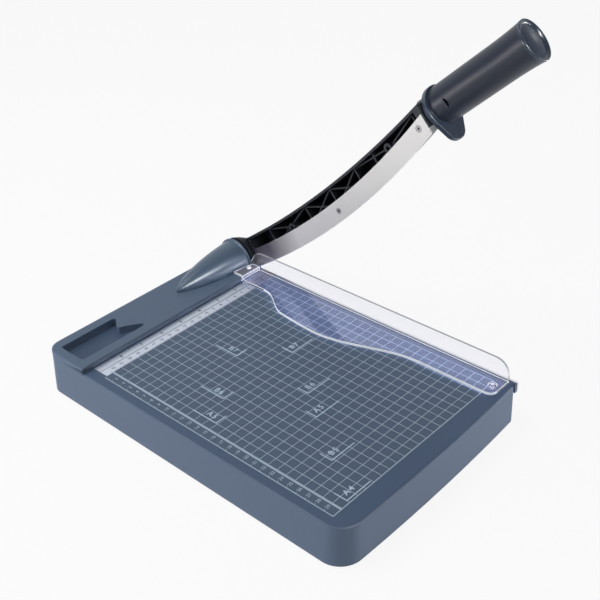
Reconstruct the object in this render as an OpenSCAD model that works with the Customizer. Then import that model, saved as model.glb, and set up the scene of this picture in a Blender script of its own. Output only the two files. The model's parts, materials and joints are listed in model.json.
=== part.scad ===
// A4 paper cutter: a moulded board with a raised head bar, a clear safety guard
// and a curved blade on a ribbed swinging arm.
// Datum while drawing: x = 0 at the cutting edge, y = 0 at the paper stop and z = 0 at the table.
// Every piece is then moved so that the origin is the bottom centre of the whole object's box.

/* [Base moulding] */
// Width from the cutting edge to the left rim of the board
board_w = 244.5; // [225:0.5:300]
// Length from the paper stop to the middle of the bowed front edge
board_l = 321.5; // [312:0.5:380]
// Depth of the head bar behind the paper stop
bar_d = 57; // [56:0.5:80]
// Height of the moulding from its foot to the face of the board
base_h = 40.2; // [36:0.1:60]
// Rise of the head bar above the face of the board
bar_rise = 6; // [5:0.25:9]
// Bow of the front edge, from its middle to the cutting side
front_bow = 5; // [0.5:0.25:8]
// Distance of the bow's middle from the cutting edge
bow_at = 150; // [120:1:170]
// Slope of the side and back walls outwards between the top edge and the foot
draft = 2.5; // [0.5:0.25:5]
// Slope of the front wall outwards between the top edge and the foot
front_draft = 0.4; // [0:0.1:3]
// Thickness of the moulded walls
wall = 2.6; // [2:0.1:4]
// Thickness of the board and of the head bar's top
top_t = 3; // [2.5:0.1:4.5]
// Rounding of the top edges
edge_r = 2; // [0.5:0.25:3]
// Radius of the front left corner
front_left_r = 20; // [8:0.5:30]
// Radius of the back left corner
back_left_r = 14; // [8:0.5:24]
// Radius of the corners on the cutting side
right_r = 4; // [3.5:0.25:8]
// Overhang of the edge rail beyond the right wall
rail_out = 4.5; // [4:0.25:8]
// Height of the edge rail
rail_h = 9; // [7:0.25:16]

/* [Storage tray] */
// Length of the tray along the head bar
tray_l = 65; // [40:0.5:80]
// Width of the tray across the head bar
tray_w = 33.5; // [26:0.5:36]
// Depth of the tray below the head bar's top
tray_depth = 7.6; // [5:0.1:14]
// Distance of the tray from the left rim
tray_in = 9.5; // [8:0.5:20]
// Distance of the tray from the paper stop
tray_off = 11.5; // [8:0.5:14]
// Reach of the finger scoop past the tray's end
scoop_l = 12; // [6:0.5:20]
// Width of the scoop at its tip
scoop_w = 5; // [3:0.25:10]
// Reach of the retaining nose into the tray
nose_l = 8.5; // [3:0.5:14]
// Distance of the nose from the tray's front side
nose_off = 18; // [12:0.5:22]

/* [Underside] */
// Height of the rubber feet
foot_h = 1.5; // [1:0.25:6]
// Diameter of the rubber feet
foot_d = 18; // [10:0.5:24]
// Distance of the feet from the walls
foot_in = 20; // [18:0.5:40]
// Thickness of the bottom cover
cover_t = 2; // [1.5:0.1:3]
// Diameter of the screw posts
post_d = 9; // [8:0.25:12]
// Thickness of the stiffening ribs
rib_t = 2; // [1.2:0.1:3]
// Depth of the stiffening ribs below the board
rib_h = 18; // [6:0.5:24]

/* [Ruler and fixed blade] */
// Width of the ruler strip
ruler_w = 19; // [14:0.5:26]
// Length of the ruler strip
ruler_l = 228; // [150:0.5:238]
// Thickness of the ruler strip
ruler_t = 1; // [0.6:0.1:2]
// Thickness of the fixed blade
fixed_t = 2; // [1.5:0.1:3]
// Number of screws that hold the fixed blade
fixed_screws_n = 4; // [3:1:7]

/* [Guard] */
// Thickness of the guard's plate
guard_t = 2.5; // [1.5:0.1:4]
// Paper gap under the guard
paper_gap = 2.5; // [1.5:0.1:3.5]
// Width of the guard's plate at its ends
guard_narrow = 27; // [22:0.5:36]
// Width of the guard's plate at its bulge
guard_wide = 52; // [38:0.5:60]
// Distance from the paper stop to the start of the guard's bulge
bulge_at = 35; // [26:1:60]
// Run over which the guard widens
bulge_run = 44; // [30:1:60]
// Run over which the bulge swells to its full width
bulge_swell = 95; // [80:1:110]
// Share of the bulge that the first run gives
bulge_first = 0.72; // [0.5:0.01:0.9]
// Distance from the paper stop to the end of the guard's full width
bulge_end = 125; // [110:1:140]
// Run over which the guard narrows again
bulge_back = 110; // [90:1:120]
// Height of the upright shield above the board
shield_h = 25.5; // [18:0.5:32]
// Thickness of the upright shield
shield_t = 1.8; // [1.4:0.1:2]
// Distance of the shield's outer face from the cutting edge
shield_in = 9; // [8.9:0.1:14]
// Distance of the guard's front end from the front edge at its middle
guard_front_in = 8.5; // [6:0.5:20]

/* [Pivot] */
// Distance of the pivot behind the paper stop
pivot_back = 31.5; // [31:0.25:33]
// Height of the pivot above the head bar
pivot_rise = 1.2; // [0:0.1:4]
// Diameter of the bolt's bearing shoulder
bolt_d = 10; // [8:0.25:12]
// Diameter of the bolt's thread
thread_d = 8; // [6:0.25:8]
// Radial clearance between the bolt and the bush
run_gap = 0.05; // [0.01:0.01:0.1]
// Wall of the bush
bush_t = 2; // [1.5:0.1:3]
// Radius of the arm's hub
hub_r = 22; // [20:0.25:22.5]
// Radius of the cowl at its open end
cowl_r = 21; // [20:0.25:22]
// Length of the cowl
cowl_l = 87; // [78:0.5:100]
// Fullness of the cowl's nose
cowl_p = 1.6; // [1.45:0.05:2]
// Wall of the cowl
cowl_t = 2.4; // [1.8:0.1:3]
// Height of the cowl's rim at its open end
cowl_rim = 2; // [0.5:0.1:2.5]
// Thickness of the cowl's rim
cowl_rim_t = 2; // [1:0.1:3]

/* [Blade and beam] */
// Distance from the pivot to the end of the blade
blade_l = 320.5; // [300:0.5:340]
// Width of the blade
blade_w = 19.4; // [16:0.2:22]
// Thickness of the blade
blade_t = 2; // [1.5:0.1:2.5]
// Radius of the cutting edge's curve
blade_r = 861; // [700:1:1200]
// Depth of the cutting edge below the pivot at its lowest
belly = 27.8; // [26:0.2:30]
// Distance from the pivot to the lowest place of the edge
belly_at = 123.7; // [110:0.5:140]
// Gap between the moving and the fixed blade
shear_gap = 0.25; // [0.1:0.01:0.4]
// Depth of the beam away from the board
beam_d = 27; // [22:0.5:30]
// Height of the beam's top above the pivot at its lowest
beam_top = 7.7; // [6:0.2:10]
// Radius of the beam's top curve
beam_top_r = 1270; // [1000:5:2000]
// Projection of the blade below the beam
blade_show = 6; // [4:0.25:7]
// Thickness of the beam's walls
beam_wall = 2.6; // [1.8:0.1:3.5]
// Thickness of the lattice ribs
lattice_t = 1.6; // [1:0.1:2.4]
// Distances of the lattice's upright ribs from the pivot
lattice_posts = [54, 123, 168, 212]; // [40:1:230]
// Distance of the lattice's last upright rib from the blade's end
lattice_last = 13.5; // [10:0.5:20]
// Distance of the single upright rib between the crossed ones from the blade's end
lattice_single = 78.5; // [70:0.5:90]
// Height of the crossed ribs' lower ends above the beam's lower side
lattice_low = 7.2; // [5:0.1:9]

/* [Handle] */
// Distance of the handle's axis from the cutting edge
handle_out = 25; // [24:0.1:28]
// Height of the handle's axis above the pivot with the arm level
handle_up = 12.4; // [10:0.2:14]
// Turn of the handle outwards, away from the board
handle_splay = 11; // [0:0.5:15]
// Rise of the handle from the line of the arm
handle_rise = 1.3; // [0:0.1:5]
// Diameter of the grip at the hand guard
grip_d = 35; // [31:0.2:36]
// Diameter of the grip at its free end
grip_end_d = 35.8; // [31:0.2:40]
// Length of the handle from the hand guard's near face to the end cap
grip_l = 101; // [85:0.5:125]
// Wall of the grip
grip_t = 4; // [3:0.1:5]
// Thickness of the hand guard
flange_t = 5; // [3:0.1:6]
// Radius of the hand guard around the grip
flange_r = 20.8; // [19:0.1:21.5]
// Reach of the hand guard's tab below the handle's axis
tab_reach = 33; // [28:0.2:34]
// Lift of the arm in the drawn pose
arm_lift = 40.8; // [0:0.1:75]

/* [Hidden] */
$fn = 64;

// Small gaps and overlaps
fit = 0.15;
slip = 0.02;
snug = 0.3;
eps = 0.01;
far = 1000;

// Levels and faces of the base
foot_z = foot_h;
board_z = foot_z + base_h;
bar_z = board_z + bar_rise;
tray_z = bar_z - tray_depth;
left_x = -board_w;
wall_x = -rail_out;
mid_x = left_x / 2;
rail_y = front_y(wall_x) - 0.8;
back_y = bar_d;

// Pivot stack, from the block outwards to the cap
pivot_y = pivot_back;
pivot_z = bar_z + pivot_rise;
blade_in_x = shear_gap;
blade_out_x = blade_in_x + blade_t;
hub_in_x = -8.2;
notch_x = hub_in_x - 0.6;
notch_y = pivot_y - hub_r - 0.5;
washer_t = 2.85;
washer_r = bolt_d / 2 + 7;
block_x = hub_in_x - fit - washer_t;
block_l = 23;
block_w = 24;
block_drop = 25;
block_spots = [for (s = [-1, 1]) [block_x - block_l / 2, pivot_y + s * block_w / 4]];
hub_out_x = blade_out_x + 5.8;
spring_t = 1;
head_x = hub_out_x + fit + spring_t;
head_t = 5;
head_r = 9;
nut_af = thread_d * 1.625;
nut_t = thread_d * 0.8;
bolt_end_x = block_x - block_l - nut_t - 2;
bush_r = bolt_d / 2 + run_gap + bush_t;
hub_mid_r = hub_r - 3.3;
cap_l = 18;
cap_r = hub_r - 6;
cap_hollow_r = 11.5;
cap_hollow = head_x + head_t + 2 - hub_out_x;

// Cowl and its screws
cowl_x = block_x + 0.2;
cowl_foot = 1.2;
cowl_soft = 0.5;
cowl_posts = [[-37, 9.5], [-37, -9.5], [-63, 0]];
cowl_post_r = 3.6;
cowl_post_h = 10;
cowl_screw_l = 15;

// Beam, blade and handle in the arm's own frame: along from the pivot, then up
beam_in_x = blade_in_x + 0.35;
beam_out_x = beam_in_x + beam_d;
beam_l = blade_l + 1.5;
beam_bottom = -belly + blade_show;
lattice_in = 5;
lattice_ends = concat(lattice_posts, [blade_l - lattice_last]);
screw_l = [blade_l - 10, 169];
screw_up = [12.4, 9.9];
screw_spots = [for (i = [0:1]) [screw_l[i], edge_h(screw_l[i]) + screw_up[i]]];
boss_l = [blade_l - 55, 92.5];
boss_up = [22.4, 22];
plain_bosses = [for (i = [0:1]) [boss_l[i], edge_h(boss_l[i]) + boss_up[i]]];
boss_r = 4.6;
eye_r = 14;
flange_at = beam_l;
tang_r = grip_d / 2 - grip_t;
tang_l = grip_l - 22;
shoulder_r = tang_r + 1.2;
shoulder_l = 14;
shoulder_end = 4;
tab_r = 12;
tab_side = -2;
flange_side = -1;
flange_drop = 1.6;
window_at = 17;
window_r = 5.2;
window_h = 3;
window_drop = 1.6;
bore_l = 4 * flange_t;
cap_rim_r = grip_end_d / 2 + 0.7;
cap_rim_t = 3;

// Fastener sizes
screw_r = 1.5;
screw_head_r = 3;
screw_head_t = 1.9;
screw_dome = 1.2;
cover_screw_l = 12;
fixed_screw_l = 7;
blade_screw_l = 9;
pilot_r = screw_r + slip;

// Whole box, for the origin
axis_x = sin(handle_splay) * cos(handle_rise);
arm_reach_x = handle_out + (grip_l + cap_rim_t - 1) * axis_x + cap_rim_r * sqrt(1 - axis_x * axis_x);
box_left_x = left_x - draft;
centre_x = (box_left_x + arm_reach_x) / 2;
centre_y = (back_y + draft - board_l - front_draft) / 2;

// Shared curves
function front_y(x) = -board_l + front_bow * pow((x + bow_at) / bow_at, 2);
function edge_h(l) = -belly + blade_r - sqrt(pow(blade_r, 2) - pow(l - belly_at, 2));
function roof_h(l) = beam_top - beam_wall + pow(l - belly_at, 2) / (2 * beam_top_r);
function ease(t) = (1 - cos(180 * min(max(t, 0), 1))) / 2;
function arc(c, r, a0, a1, n) = [
    for (i = [0:n]) let (a = a0 + (a1 - a0) * i / n) [c[0] + r * cos(a), c[1] + r * sin(a)]
];
function cowl_radius(u) = cowl_r * pow(1 - pow(u, cowl_p), 1 / cowl_p);

// Moves a piece from the drawing datum to the part's own origin
module place() {
    translate([-centre_x, -centre_y, 0]) children();
}

// Turns an arm piece, drawn level, up to the drawn lift
module on_arm() {
    place() translate([0, pivot_y, pivot_z]) rotate([-arm_lift, 0, 0]) children();
}

// Extrudes a side profile, drawn along the arm and up, from one x to another
module across(x0, x1) {
    translate([x0, 0, 0]) rotate([90, 0, 90]) linear_extrude(x1 - x0) mirror([1, 0]) children();
}

// Cylinder along x at a place along and up the arm
module cross_pin(spot, r, x0, x1) {
    translate([x0, -spot[0], spot[1]]) rotate([0, 90, 0]) cylinder(r = r, h = x1 - x0);
}

// Turned piece about an axis along x, from a profile of x and radius
module turned_x(points) {
    rotate([0, 90, 0]) rotate_extrude() polygon([for (p = points) [p[1], p[0]]]);
}

// Moves a piece to the handle's own frame: its axis runs along -y from the hand guard's near face
module at_handle() {
    translate([handle_out, -flange_at, handle_up]) rotate([-handle_rise, 0, handle_splay]) children();
}

// Turned piece about the handle's axis, from a profile of distance from the hand guard and radius
module turned_handle(points) {
    at_handle() rotate([90, 0, 0]) rotate_extrude() polygon([for (p = points) [p[1], p[0]]]);
}

// Outline that wraps two circles
module belt(c1, r1, c2, r2) {
    d = norm(c2 - c1);
    turn = atan2(c2[1] - c1[1], c2[0] - c1[0]);
    lean = acos((r1 - r2) / d);
    translate(c1) rotate(turn) {
        circle(r1);
        translate([d, 0]) circle(r2);
        polygon([
            [r1 * cos(lean), r1 * sin(lean)], [r1 * cos(lean), -r1 * sin(lean)],
            [d + r2 * cos(lean), -r2 * sin(lean)], [d + r2 * cos(lean), r2 * sin(lean)]
        ]);
    }
}

// Countersunk screw with its flat head's face at z = 0 and its shank going down
module screw(l, r = screw_r) {
    rotate_extrude() polygon([
        [0, 0], [screw_head_r, 0], [screw_head_r, -0.4], [r, -screw_head_t], [r, -l], [0, -l]
    ]);
}

// Hole that takes the same screw with a little room
module screw_hole(l, r = screw_r) {
    rotate_extrude() polygon([
        [0, 1], [screw_head_r + fit, 1], [screw_head_r + fit, -0.5],
        [r + fit, -screw_head_t - 0.1], [r + fit, -l], [0, -l]
    ]);
}

// Outline of the base: its sides move out by grow and its front by lead, and its right side is at right
function base_outline(grow, lead, right) =
    let (
        from_x = left_x + front_left_r,
        fl = front_left_r + grow,
        rr = right < wall_x ? max(right_r - wall, 0.5) : right_r,
        bl = back_left_r + grow,
        to_x = right - rr
    )
    concat(
        arc([from_x, front_y(from_x) - lead + fl], fl, 180, 270, 12),
        [for (i = [1:15]) let (x = from_x + (to_x - from_x) * i / 16) [x, front_y(x) - lead]],
        arc([to_x, front_y(to_x) - lead + rr], rr, 270, 360, 6),
        arc([to_x, back_y + grow - rr], rr, 0, 90, 6),
        arc([left_x + back_left_r, back_y - back_left_r], bl, 90, 180, 12)
    );

module base_slice(z, grow, lead, right) {
    translate([0, 0, z]) linear_extrude(eps) polygon(base_outline(grow, lead, right));
}

// Slice of the head bar, whose front face is the paper stop
module bar_slice(z, grow, front_in) {
    translate([0, 0, z]) {
        rr = max(right_r + grow, 0.5);
        for (x = [left_x - grow, wall_x]) translate([min(x, wall_x - 0.5), front_in, 0])
            cube([0.5, 0.5, eps]);
        translate([left_x + back_left_r, back_y - back_left_r, 0])
            cylinder(r = back_left_r + grow, h = eps, $fn = 48);
        translate([wall_x - rr, back_y - right_r, 0]) cylinder(r = rr, h = eps, $fn = 32);
    }
}

// Outer form of the base with rounded top edges
module base_form() {
    round_steps = [0, 30, 60, 90];
    hull() {
        base_slice(foot_z, draft, front_draft, wall_x);
        for (a = round_steps) let (back = edge_r * (1 - cos(a)))
            base_slice(board_z - edge_r * (1 - sin(a)) - eps, -back, -back, wall_x);
    }
    hull() {
        bar_slice(board_z - edge_r - 4, -slip, 0);
        for (a = round_steps) let (back = edge_r * (1 - cos(a)))
            bar_slice(bar_z - edge_r * (1 - sin(a)) - eps, -slip - back, back / 2);
    }
}

// Hollow of the base, open at the foot
module base_hollow() {
    difference() {
        hull() {
            base_slice(foot_z - 1, draft - wall, front_draft - wall, wall_x - wall);
            base_slice(board_z - top_t, -wall, -wall, wall_x - wall);
        }
        translate([notch_x - wall, notch_y - wall, 0]) cube([far, far, far]);
    }
    difference() {
        translate([left_x + back_left_r, wall, board_z - top_t - 1])
            cube([-left_x - back_left_r + notch_x - wall, back_y - 2 * wall, bar_rise + 1]);
        pivot_pad();
    }
}

// Plan of the storage tray with its nose and finger scoop
module tray_plan() {
    x0 = left_x + tray_in;
    x1 = x0 + tray_l;
    y0 = tray_off;
    y1 = tray_off + tray_w;
    r = 3;
    polygon(concat(
        arc([x0 + r, y0 + r], r, 180, 270, 6),
        arc([x1 + scoop_l - scoop_w / 2, y0 + scoop_w / 2], scoop_w / 2, -90, 60, 6),
        [[x1 - nose_l + 6, y0 + nose_off - 4]],
        arc([x1 - nose_l + 3, y0 + nose_off], 3, 240, 150, 5),
        arc([x1 - r, y1 - r], r, 0, 90, 6),
        arc([x0 + r, y1 - r], r, 90, 180, 6)
    ));
}

// Thick pad in the head bar that the pivot block sits in
module pivot_pad() {
    translate([block_x - block_l - wall, pivot_y - block_w / 2 - wall, pivot_z - block_drop - wall])
        cube([far, block_w + 2 * wall, block_drop + wall + bar_z - pivot_z]);
}

// Places of the posts that take the bottom cover's screws
cover_spots = [
    for (x = [left_x + 28, mid_x + 12, wall_x - 28], y = [-board_l + 52, -board_l / 2 + 12, -24]) [x, y],
    [left_x + 48, back_y - 12], [mid_x + 12, back_y - 12]
];
rib_xs = [left_x + 55, mid_x, wall_x - 60];
rib_ys = [-board_l + 80, -board_l / 2, -75];
foot_spots = [
    for (x = [left_x + foot_in, wall_x - foot_in], y = [-board_l + foot_in + front_bow, back_y - foot_in])
        [x, y]
];
fixed_spots = [
    for (i = [0:fixed_screws_n - 1])
        -board_l + 30 + (board_l - 50) * i / (fixed_screws_n - 1)
];
guard_tab_y = 5;
guard_tab_x = -shield_in - 9.7;
guard_front_y = -board_l + guard_front_in;
guard_post = [-shield_in - 13, guard_front_y + 9];

// Moulded base: board, head bar with its tray, walls, ribs and screw posts
module base_housing() {
    color("slategray") place() difference() {
        union() {
            difference() {
                base_form();
                base_hollow();
            }
            // Ribs under the board, kept inside the walls
            translate([0, 0, board_z - top_t - rib_h]) linear_extrude(rib_h + 1) {
                for (x = rib_xs) let (y = front_y(x) + wall / 2)
                    translate([x - rib_t / 2, y]) square([rib_t, back_y - wall / 2 - y]);
                for (y = rib_ys) translate([left_x + wall / 2, y - rib_t / 2])
                    square([wall_x - left_x - wall, rib_t]);
            }
            for (p = cover_spots) let (top = (p[1] > 0 ? bar_z : board_z) - top_t + 1, low = foot_z + cover_t)
                translate([p[0], p[1], low]) cylinder(d = post_d, h = top - low);
            for (p = cowl_posts) translate([cowl_x + p[0], pivot_y + p[1], bar_z - cowl_post_h])
                cylinder(r = cowl_post_r, h = cowl_post_h - 1);
            // Tub of the storage tray
            translate([0, 0, tray_z - wall]) linear_extrude(tray_depth + wall - 1)
                offset(delta = wall) tray_plan();
            pivot_pad();
            // Rail that carries the fixed blade
            translate([wall_x - 1, rail_y, board_z - rail_h])
                cube([rail_out + 1 - fixed_t, notch_y - rail_y, rail_h]);
        }
        translate([0, 0, tray_z]) linear_extrude(tray_depth + 1) tray_plan();
        // Room for the arm's hub beside the head bar
        translate([notch_x, notch_y, -1]) cube([far, far, far]);
        // Pocket of the pivot block, the washer's window and the block's screws
        translate([block_x - block_l - fit, pivot_y - block_w / 2 - fit, pivot_z - block_drop - fit])
            cube([block_l + 2 * fit, block_w + 2 * fit, far]);
        translate([block_x - 1, pivot_y, pivot_z]) rotate([0, 90, 0])
            cylinder(r = washer_r + 0.5, h = 20);
        for (p = block_spots) translate([p[0], p[1], pivot_z - block_drop - wall])
            rotate([180, 0, 0]) screw_hole(wall + 2);
        // Room for the nut and the bolt's end behind the block
        translate([bolt_end_x - 1, pivot_y - nut_af / 2 - 0.4, pivot_z - nut_af / sqrt(3) - 0.6])
            cube([block_x - block_l - bolt_end_x + 2, nut_af + 0.8, far]);
        // Screw bores
        for (p = cover_spots) translate([p[0], p[1], foot_z + cover_t - 1])
            cylinder(r = pilot_r, h = cover_screw_l + 2);
        for (p = cowl_posts) translate([cowl_x + p[0], pivot_y + p[1], bar_z - cowl_post_h - 1])
            cylinder(r = screw_r + fit, h = far);
        for (y = fixed_spots) translate([-fixed_t, y, board_z - rail_h / 2]) rotate([0, -90, 0])
            cylinder(r = pilot_r, h = 12, center = true);
        translate([guard_tab_x, guard_tab_y, bar_z - 8]) cylinder(r = pilot_r, h = 10);
        translate([guard_post[0], guard_post[1], board_z - top_t - 1])
            cylinder(r = screw_r + fit, h = top_t + 2);
        // Seat of the ruler strip
        translate([-shield_in - ruler_l + 5 - fit, -1 - ruler_w - fit, board_z - ruler_t * 0.4])
            cube([ruler_l + 2 * fit, ruler_w + 2 * fit, 5]);
    }
}

module bottom_cover() {
    color("dimgray") place() difference() {
        translate([0, 0, foot_z]) linear_extrude(cover_t)
            polygon(base_outline(draft - wall - snug - 0.2, front_draft - wall - snug, wall_x - wall - snug));
        translate([notch_x - wall - snug, notch_y - wall - snug, 0]) cube([far, far, far]);
        for (p = cover_spots) translate([p[0], p[1], foot_z]) rotate([180, 0, 0]) screw_hole(cover_t + 1);
    }
}

module rubber_feet() {
    color("black") place() for (p = foot_spots) translate([p[0], p[1], 0])
        rotate_extrude() polygon([
            [0, 0], [foot_d / 2 - 0.5, 0], [foot_d / 2, 0.5], [foot_d / 2, foot_h], [0, foot_h]
        ]);
}

module cover_screws() {
    color("silver") place() for (p = cover_spots) translate([p[0], p[1], foot_z])
        rotate([180, 0, 0]) screw(cover_screw_l);
}

// Ruler strip with a groove along its middle
module ruler_strip() {
    color("gainsboro") place()
        translate([-shield_in + 5, 0, board_z - ruler_t * 0.4]) rotate([90, 0, -90]) linear_extrude(ruler_l)
            difference() {
                translate([1, 0]) square([ruler_w, ruler_t]);
                translate([1 + ruler_w / 2 - 0.6, ruler_t * 0.7]) square([1.2, ruler_t]);
            }
}

// Fixed blade with a ground relief below its square upper edge
module fixed_blade() {
    color("silver") place() difference() {
        translate([0, notch_y, 0]) rotate([90, 0, 0])
            linear_extrude(notch_y - rail_y)
                polygon([
                    [-fixed_t, board_z - rail_h], [-0.4, board_z - rail_h], [0, board_z - rail_h + 2],
                    [0, board_z], [-fixed_t, board_z]
                ]);
        for (y = fixed_spots) translate([0, y, board_z - rail_h / 2]) rotate([0, 90, 0]) screw_hole(6);
    }
}

module fixed_blade_screws() {
    color("dimgray") place() for (y = fixed_spots) translate([0, y, board_z - rail_h / 2])
        rotate([0, 90, 0]) screw(fixed_screw_l);
}

// Width of the guard's plate along its length, from the head bar to the front
function guard_width(y) =
    let (
        past = -y - bulge_at,
        swell = bulge_first * ease(past / bulge_run) + (1 - bulge_first) * ease(past / bulge_swell)
    )
    guard_narrow + (guard_wide - guard_narrow) * (swell - ease((-y - bulge_end) / bulge_back));

// Clear guard: wavy plate, step onto the head bar, upright shield and front post
module guard() {
    outer_x = -shield_in;
    plate_z = board_z + paper_gap;
    plate_top = plate_z + guard_t;
    tab_z = bar_z;
    tab_top = tab_z + guard_t;
    step_y = -0.3;
    tab_left = outer_x - guard_narrow + 1.5;
    corner = 7;
    shield_r = 14;
    back_r = 17;
    back_c = -8.5;
    wave_from = -bulge_end - bulge_back - corner;
    wave_to = -bulge_at + corner;
    wave_n = 80;
    rise = shield_h + board_z;
    color("lavender", 0.5) place() difference() {
        union() {
            translate([0, 0, plate_z]) linear_extrude(guard_t) polygon(concat(
                [[outer_x, step_y], [outer_x, guard_front_y]],
                arc([outer_x - guard_narrow + corner, guard_front_y + corner], corner, 270, 180, 6),
                [for (i = [0:wave_n]) let (y = wave_from + (wave_to - wave_from) * i / wave_n)
                    [outer_x - guard_width(y), y]],
                [[outer_x - guard_narrow, step_y]]
            ));
            translate([outer_x - guard_narrow, step_y - guard_t, plate_z])
                cube([guard_narrow, guard_t, tab_top - plate_z]);
            difference() {
                translate([0, 0, tab_z]) linear_extrude(guard_t) polygon(concat(
                    [[tab_left, step_y - guard_t], [outer_x, step_y - guard_t]],
                    [for (i = [0:8]) let (x = outer_x - (outer_x - tab_left) * i / 8)
                        [x, pivot_y - snug - cowl_radius(max(cowl_x - x, 0) / cowl_l)]]
                ));
                translate([cowl_x - cowl_rim_t - cowl_foot - snug, pivot_y, pivot_z]) rotate([0, 90, 0])
                    cylinder(r = cowl_r + cowl_rim + snug, h = far);
            }
            translate([outer_x - shield_t, 0, 0]) rotate([90, 0, 90]) linear_extrude(shield_t)
                polygon(concat(
                    [[step_y, plate_z], [step_y, tab_z], [pivot_y - 18, tab_z]],
                    arc([back_c, rise - back_r], back_r, 20, 90, 8),
                    arc([guard_front_y + shield_r, rise - shield_r], shield_r, 90, 180, 8),
                    [[guard_front_y, plate_z]]
                ));
            translate([guard_post[0], guard_post[1], board_z]) cylinder(r = 4, h = plate_top - board_z);
        }
        translate([guard_tab_x, guard_tab_y, tab_z - 1]) cylinder(r = screw_r + fit, h = guard_t + 2);
        translate([guard_post[0], guard_post[1], board_z - 1]) cylinder(r = pilot_r, h = paper_gap + guard_t);
    }
}

// Round-headed screw with its seat at z = 0 and its shank going down
module round_screw(l) {
    rotate_extrude() polygon(concat(
        [[0, -l], [screw_r, -l], [screw_r, 0], [screw_head_r, 0]],
        arc([0, -screw_dome], norm([screw_head_r, screw_dome]), atan2(screw_dome, screw_head_r), 90, 5)
    ));
}

// One screw down through the guard's tab, and one up into its front post
module guard_screws() {
    color("silver") place() {
        translate([guard_tab_x, guard_tab_y, bar_z + guard_t]) round_screw(guard_t + 7);
        translate([guard_post[0], guard_post[1], board_z - top_t]) rotate([180, 0, 0])
            round_screw(top_t + paper_gap + guard_t - 1.5);
    }
}

// Solid bullet of the cowl's form, scaled evenly about the middle of its open end
module bullet(k, from) {
    steps = 14;
    turned_x(concat(
        [[from, 0], [from, cowl_r * k]],
        [for (i = [from > 0 ? 0 : 1:steps]) let (u = sin(90 * i / steps))
            [-cowl_l * k * u, cowl_radius(u) * k]]
    ));
}

// Bullet-shaped cover over the pivot, a thin shell cut flat on the head bar
module pivot_cowl() {
    rim_r = cowl_r + cowl_rim;
    color("slategray") place() difference() {
        translate([cowl_x, pivot_y, pivot_z]) intersection() {
            union() {
                difference() {
                    union() {
                        bullet(1, 0);
                        turned_x([
                            [-cowl_rim_t - cowl_foot, 0], [-cowl_rim_t - cowl_foot, cowl_r - cowl_t / 2],
                            [-cowl_rim_t, rim_r - cowl_soft], [-cowl_rim_t + cowl_soft, rim_r],
                            [-cowl_soft, rim_r], [0, rim_r - cowl_soft], [0, 0]
                        ]);
                    }
                    bullet(1 - cowl_t / cowl_r, 1);
                }
                intersection() {
                    bullet(1 - cowl_t / cowl_r / 2, 0);
                    for (p = cowl_posts) translate([p[0], p[1], bar_z - pivot_z - 1])
                        cylinder(r = cowl_post_r, h = cowl_r);
                }
            }
            translate([-far, -far / 2, bar_z - pivot_z]) cube([far * 2, far, far]);
        }
        for (p = cowl_posts) translate([cowl_x + p[0], pivot_y + p[1], bar_z - 1])
            cylinder(r = pilot_r, h = cowl_screw_l - cowl_post_h + 2);
    }
}

module cowl_screws() {
    color("silver") place() for (p = cowl_posts)
        translate([cowl_x + p[0], pivot_y + p[1], bar_z - cowl_post_h]) rotate([180, 0, 0])
            rotate_extrude() polygon([
                [0, screw_head_t], [screw_head_r, screw_head_t], [screw_head_r, 0],
                [screw_r, 0], [screw_r, -cowl_screw_l], [0, -cowl_screw_l]
            ]);
}

// Die-cast block that carries the bolt, sunk in the head bar
module pivot_block() {
    color("darkgray") place() difference() {
        union() {
            translate([block_x - block_l, pivot_y - block_w / 2, pivot_z - block_drop])
                cube([block_l, block_w, block_drop]);
            translate([block_x - block_l, pivot_y, pivot_z]) rotate([0, 90, 0])
                cylinder(d = block_w, h = block_l);
        }
        translate([block_x - block_l - 1, pivot_y, pivot_z]) rotate([0, 90, 0])
            cylinder(r = thread_d / 2 + slip, h = block_l + 2);
        for (p = block_spots) translate([p[0], p[1], pivot_z - block_drop - 1])
            cylinder(r = pilot_r, h = 9);
    }
}

module block_screws() {
    color("silver") place() for (p = block_spots) translate([p[0], p[1], pivot_z - block_drop - wall])
        rotate([180, 0, 0]) screw(wall + 7);
}

// Shoulder bolt that the arm turns on
module pivot_bolt() {
    color("silver") place() translate([0, pivot_y, pivot_z]) difference() {
        turned_x([
            [bolt_end_x, 0], [bolt_end_x, thread_d / 2 - 0.8], [bolt_end_x + 0.8, thread_d / 2],
            [block_x, thread_d / 2], [block_x, bolt_d / 2],
            [head_x, bolt_d / 2], [head_x, head_r], [head_x + head_t - 1, head_r],
            [head_x + head_t, head_r - 1], [head_x + head_t, 0]
        ]);
        translate([head_x + head_t - 3, 0, 0]) rotate([0, 90, 0]) cylinder(d = 6.9, h = 4, $fn = 6);
    }
}

module pivot_nut() {
    color("silver") place() translate([block_x - block_l - nut_t, pivot_y, pivot_z]) rotate([0, 90, 0])
        difference() {
            cylinder(d = nut_af / cos(30), h = nut_t, $fn = 6);
            translate([0, 0, -1]) cylinder(r = thread_d / 2 + slip, h = nut_t + 2);
        }
}

module thrust_washer() {
    color("gold") place() translate([block_x, pivot_y, pivot_z]) rotate([0, 90, 0]) difference() {
        cylinder(r = washer_r, h = washer_t);
        translate([0, 0, -1]) cylinder(r = bolt_d / 2 + slip, h = washer_t + 2);
    }
}

// Dished washer under the bolt's head that gives the arm its friction
module spring_washer() {
    color("dimgray") place() translate([0, pivot_y, pivot_z]) turned_x([
        [head_x - spring_t * 0.4, bolt_d / 2 + slip], [head_x, bolt_d / 2 + slip],
        [head_x, head_r - 2], [head_x - spring_t * 0.6, head_r + 1],
        [head_x - spring_t, head_r + 1], [head_x - spring_t * 0.4, head_r - 2]
    ]);
}

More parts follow.
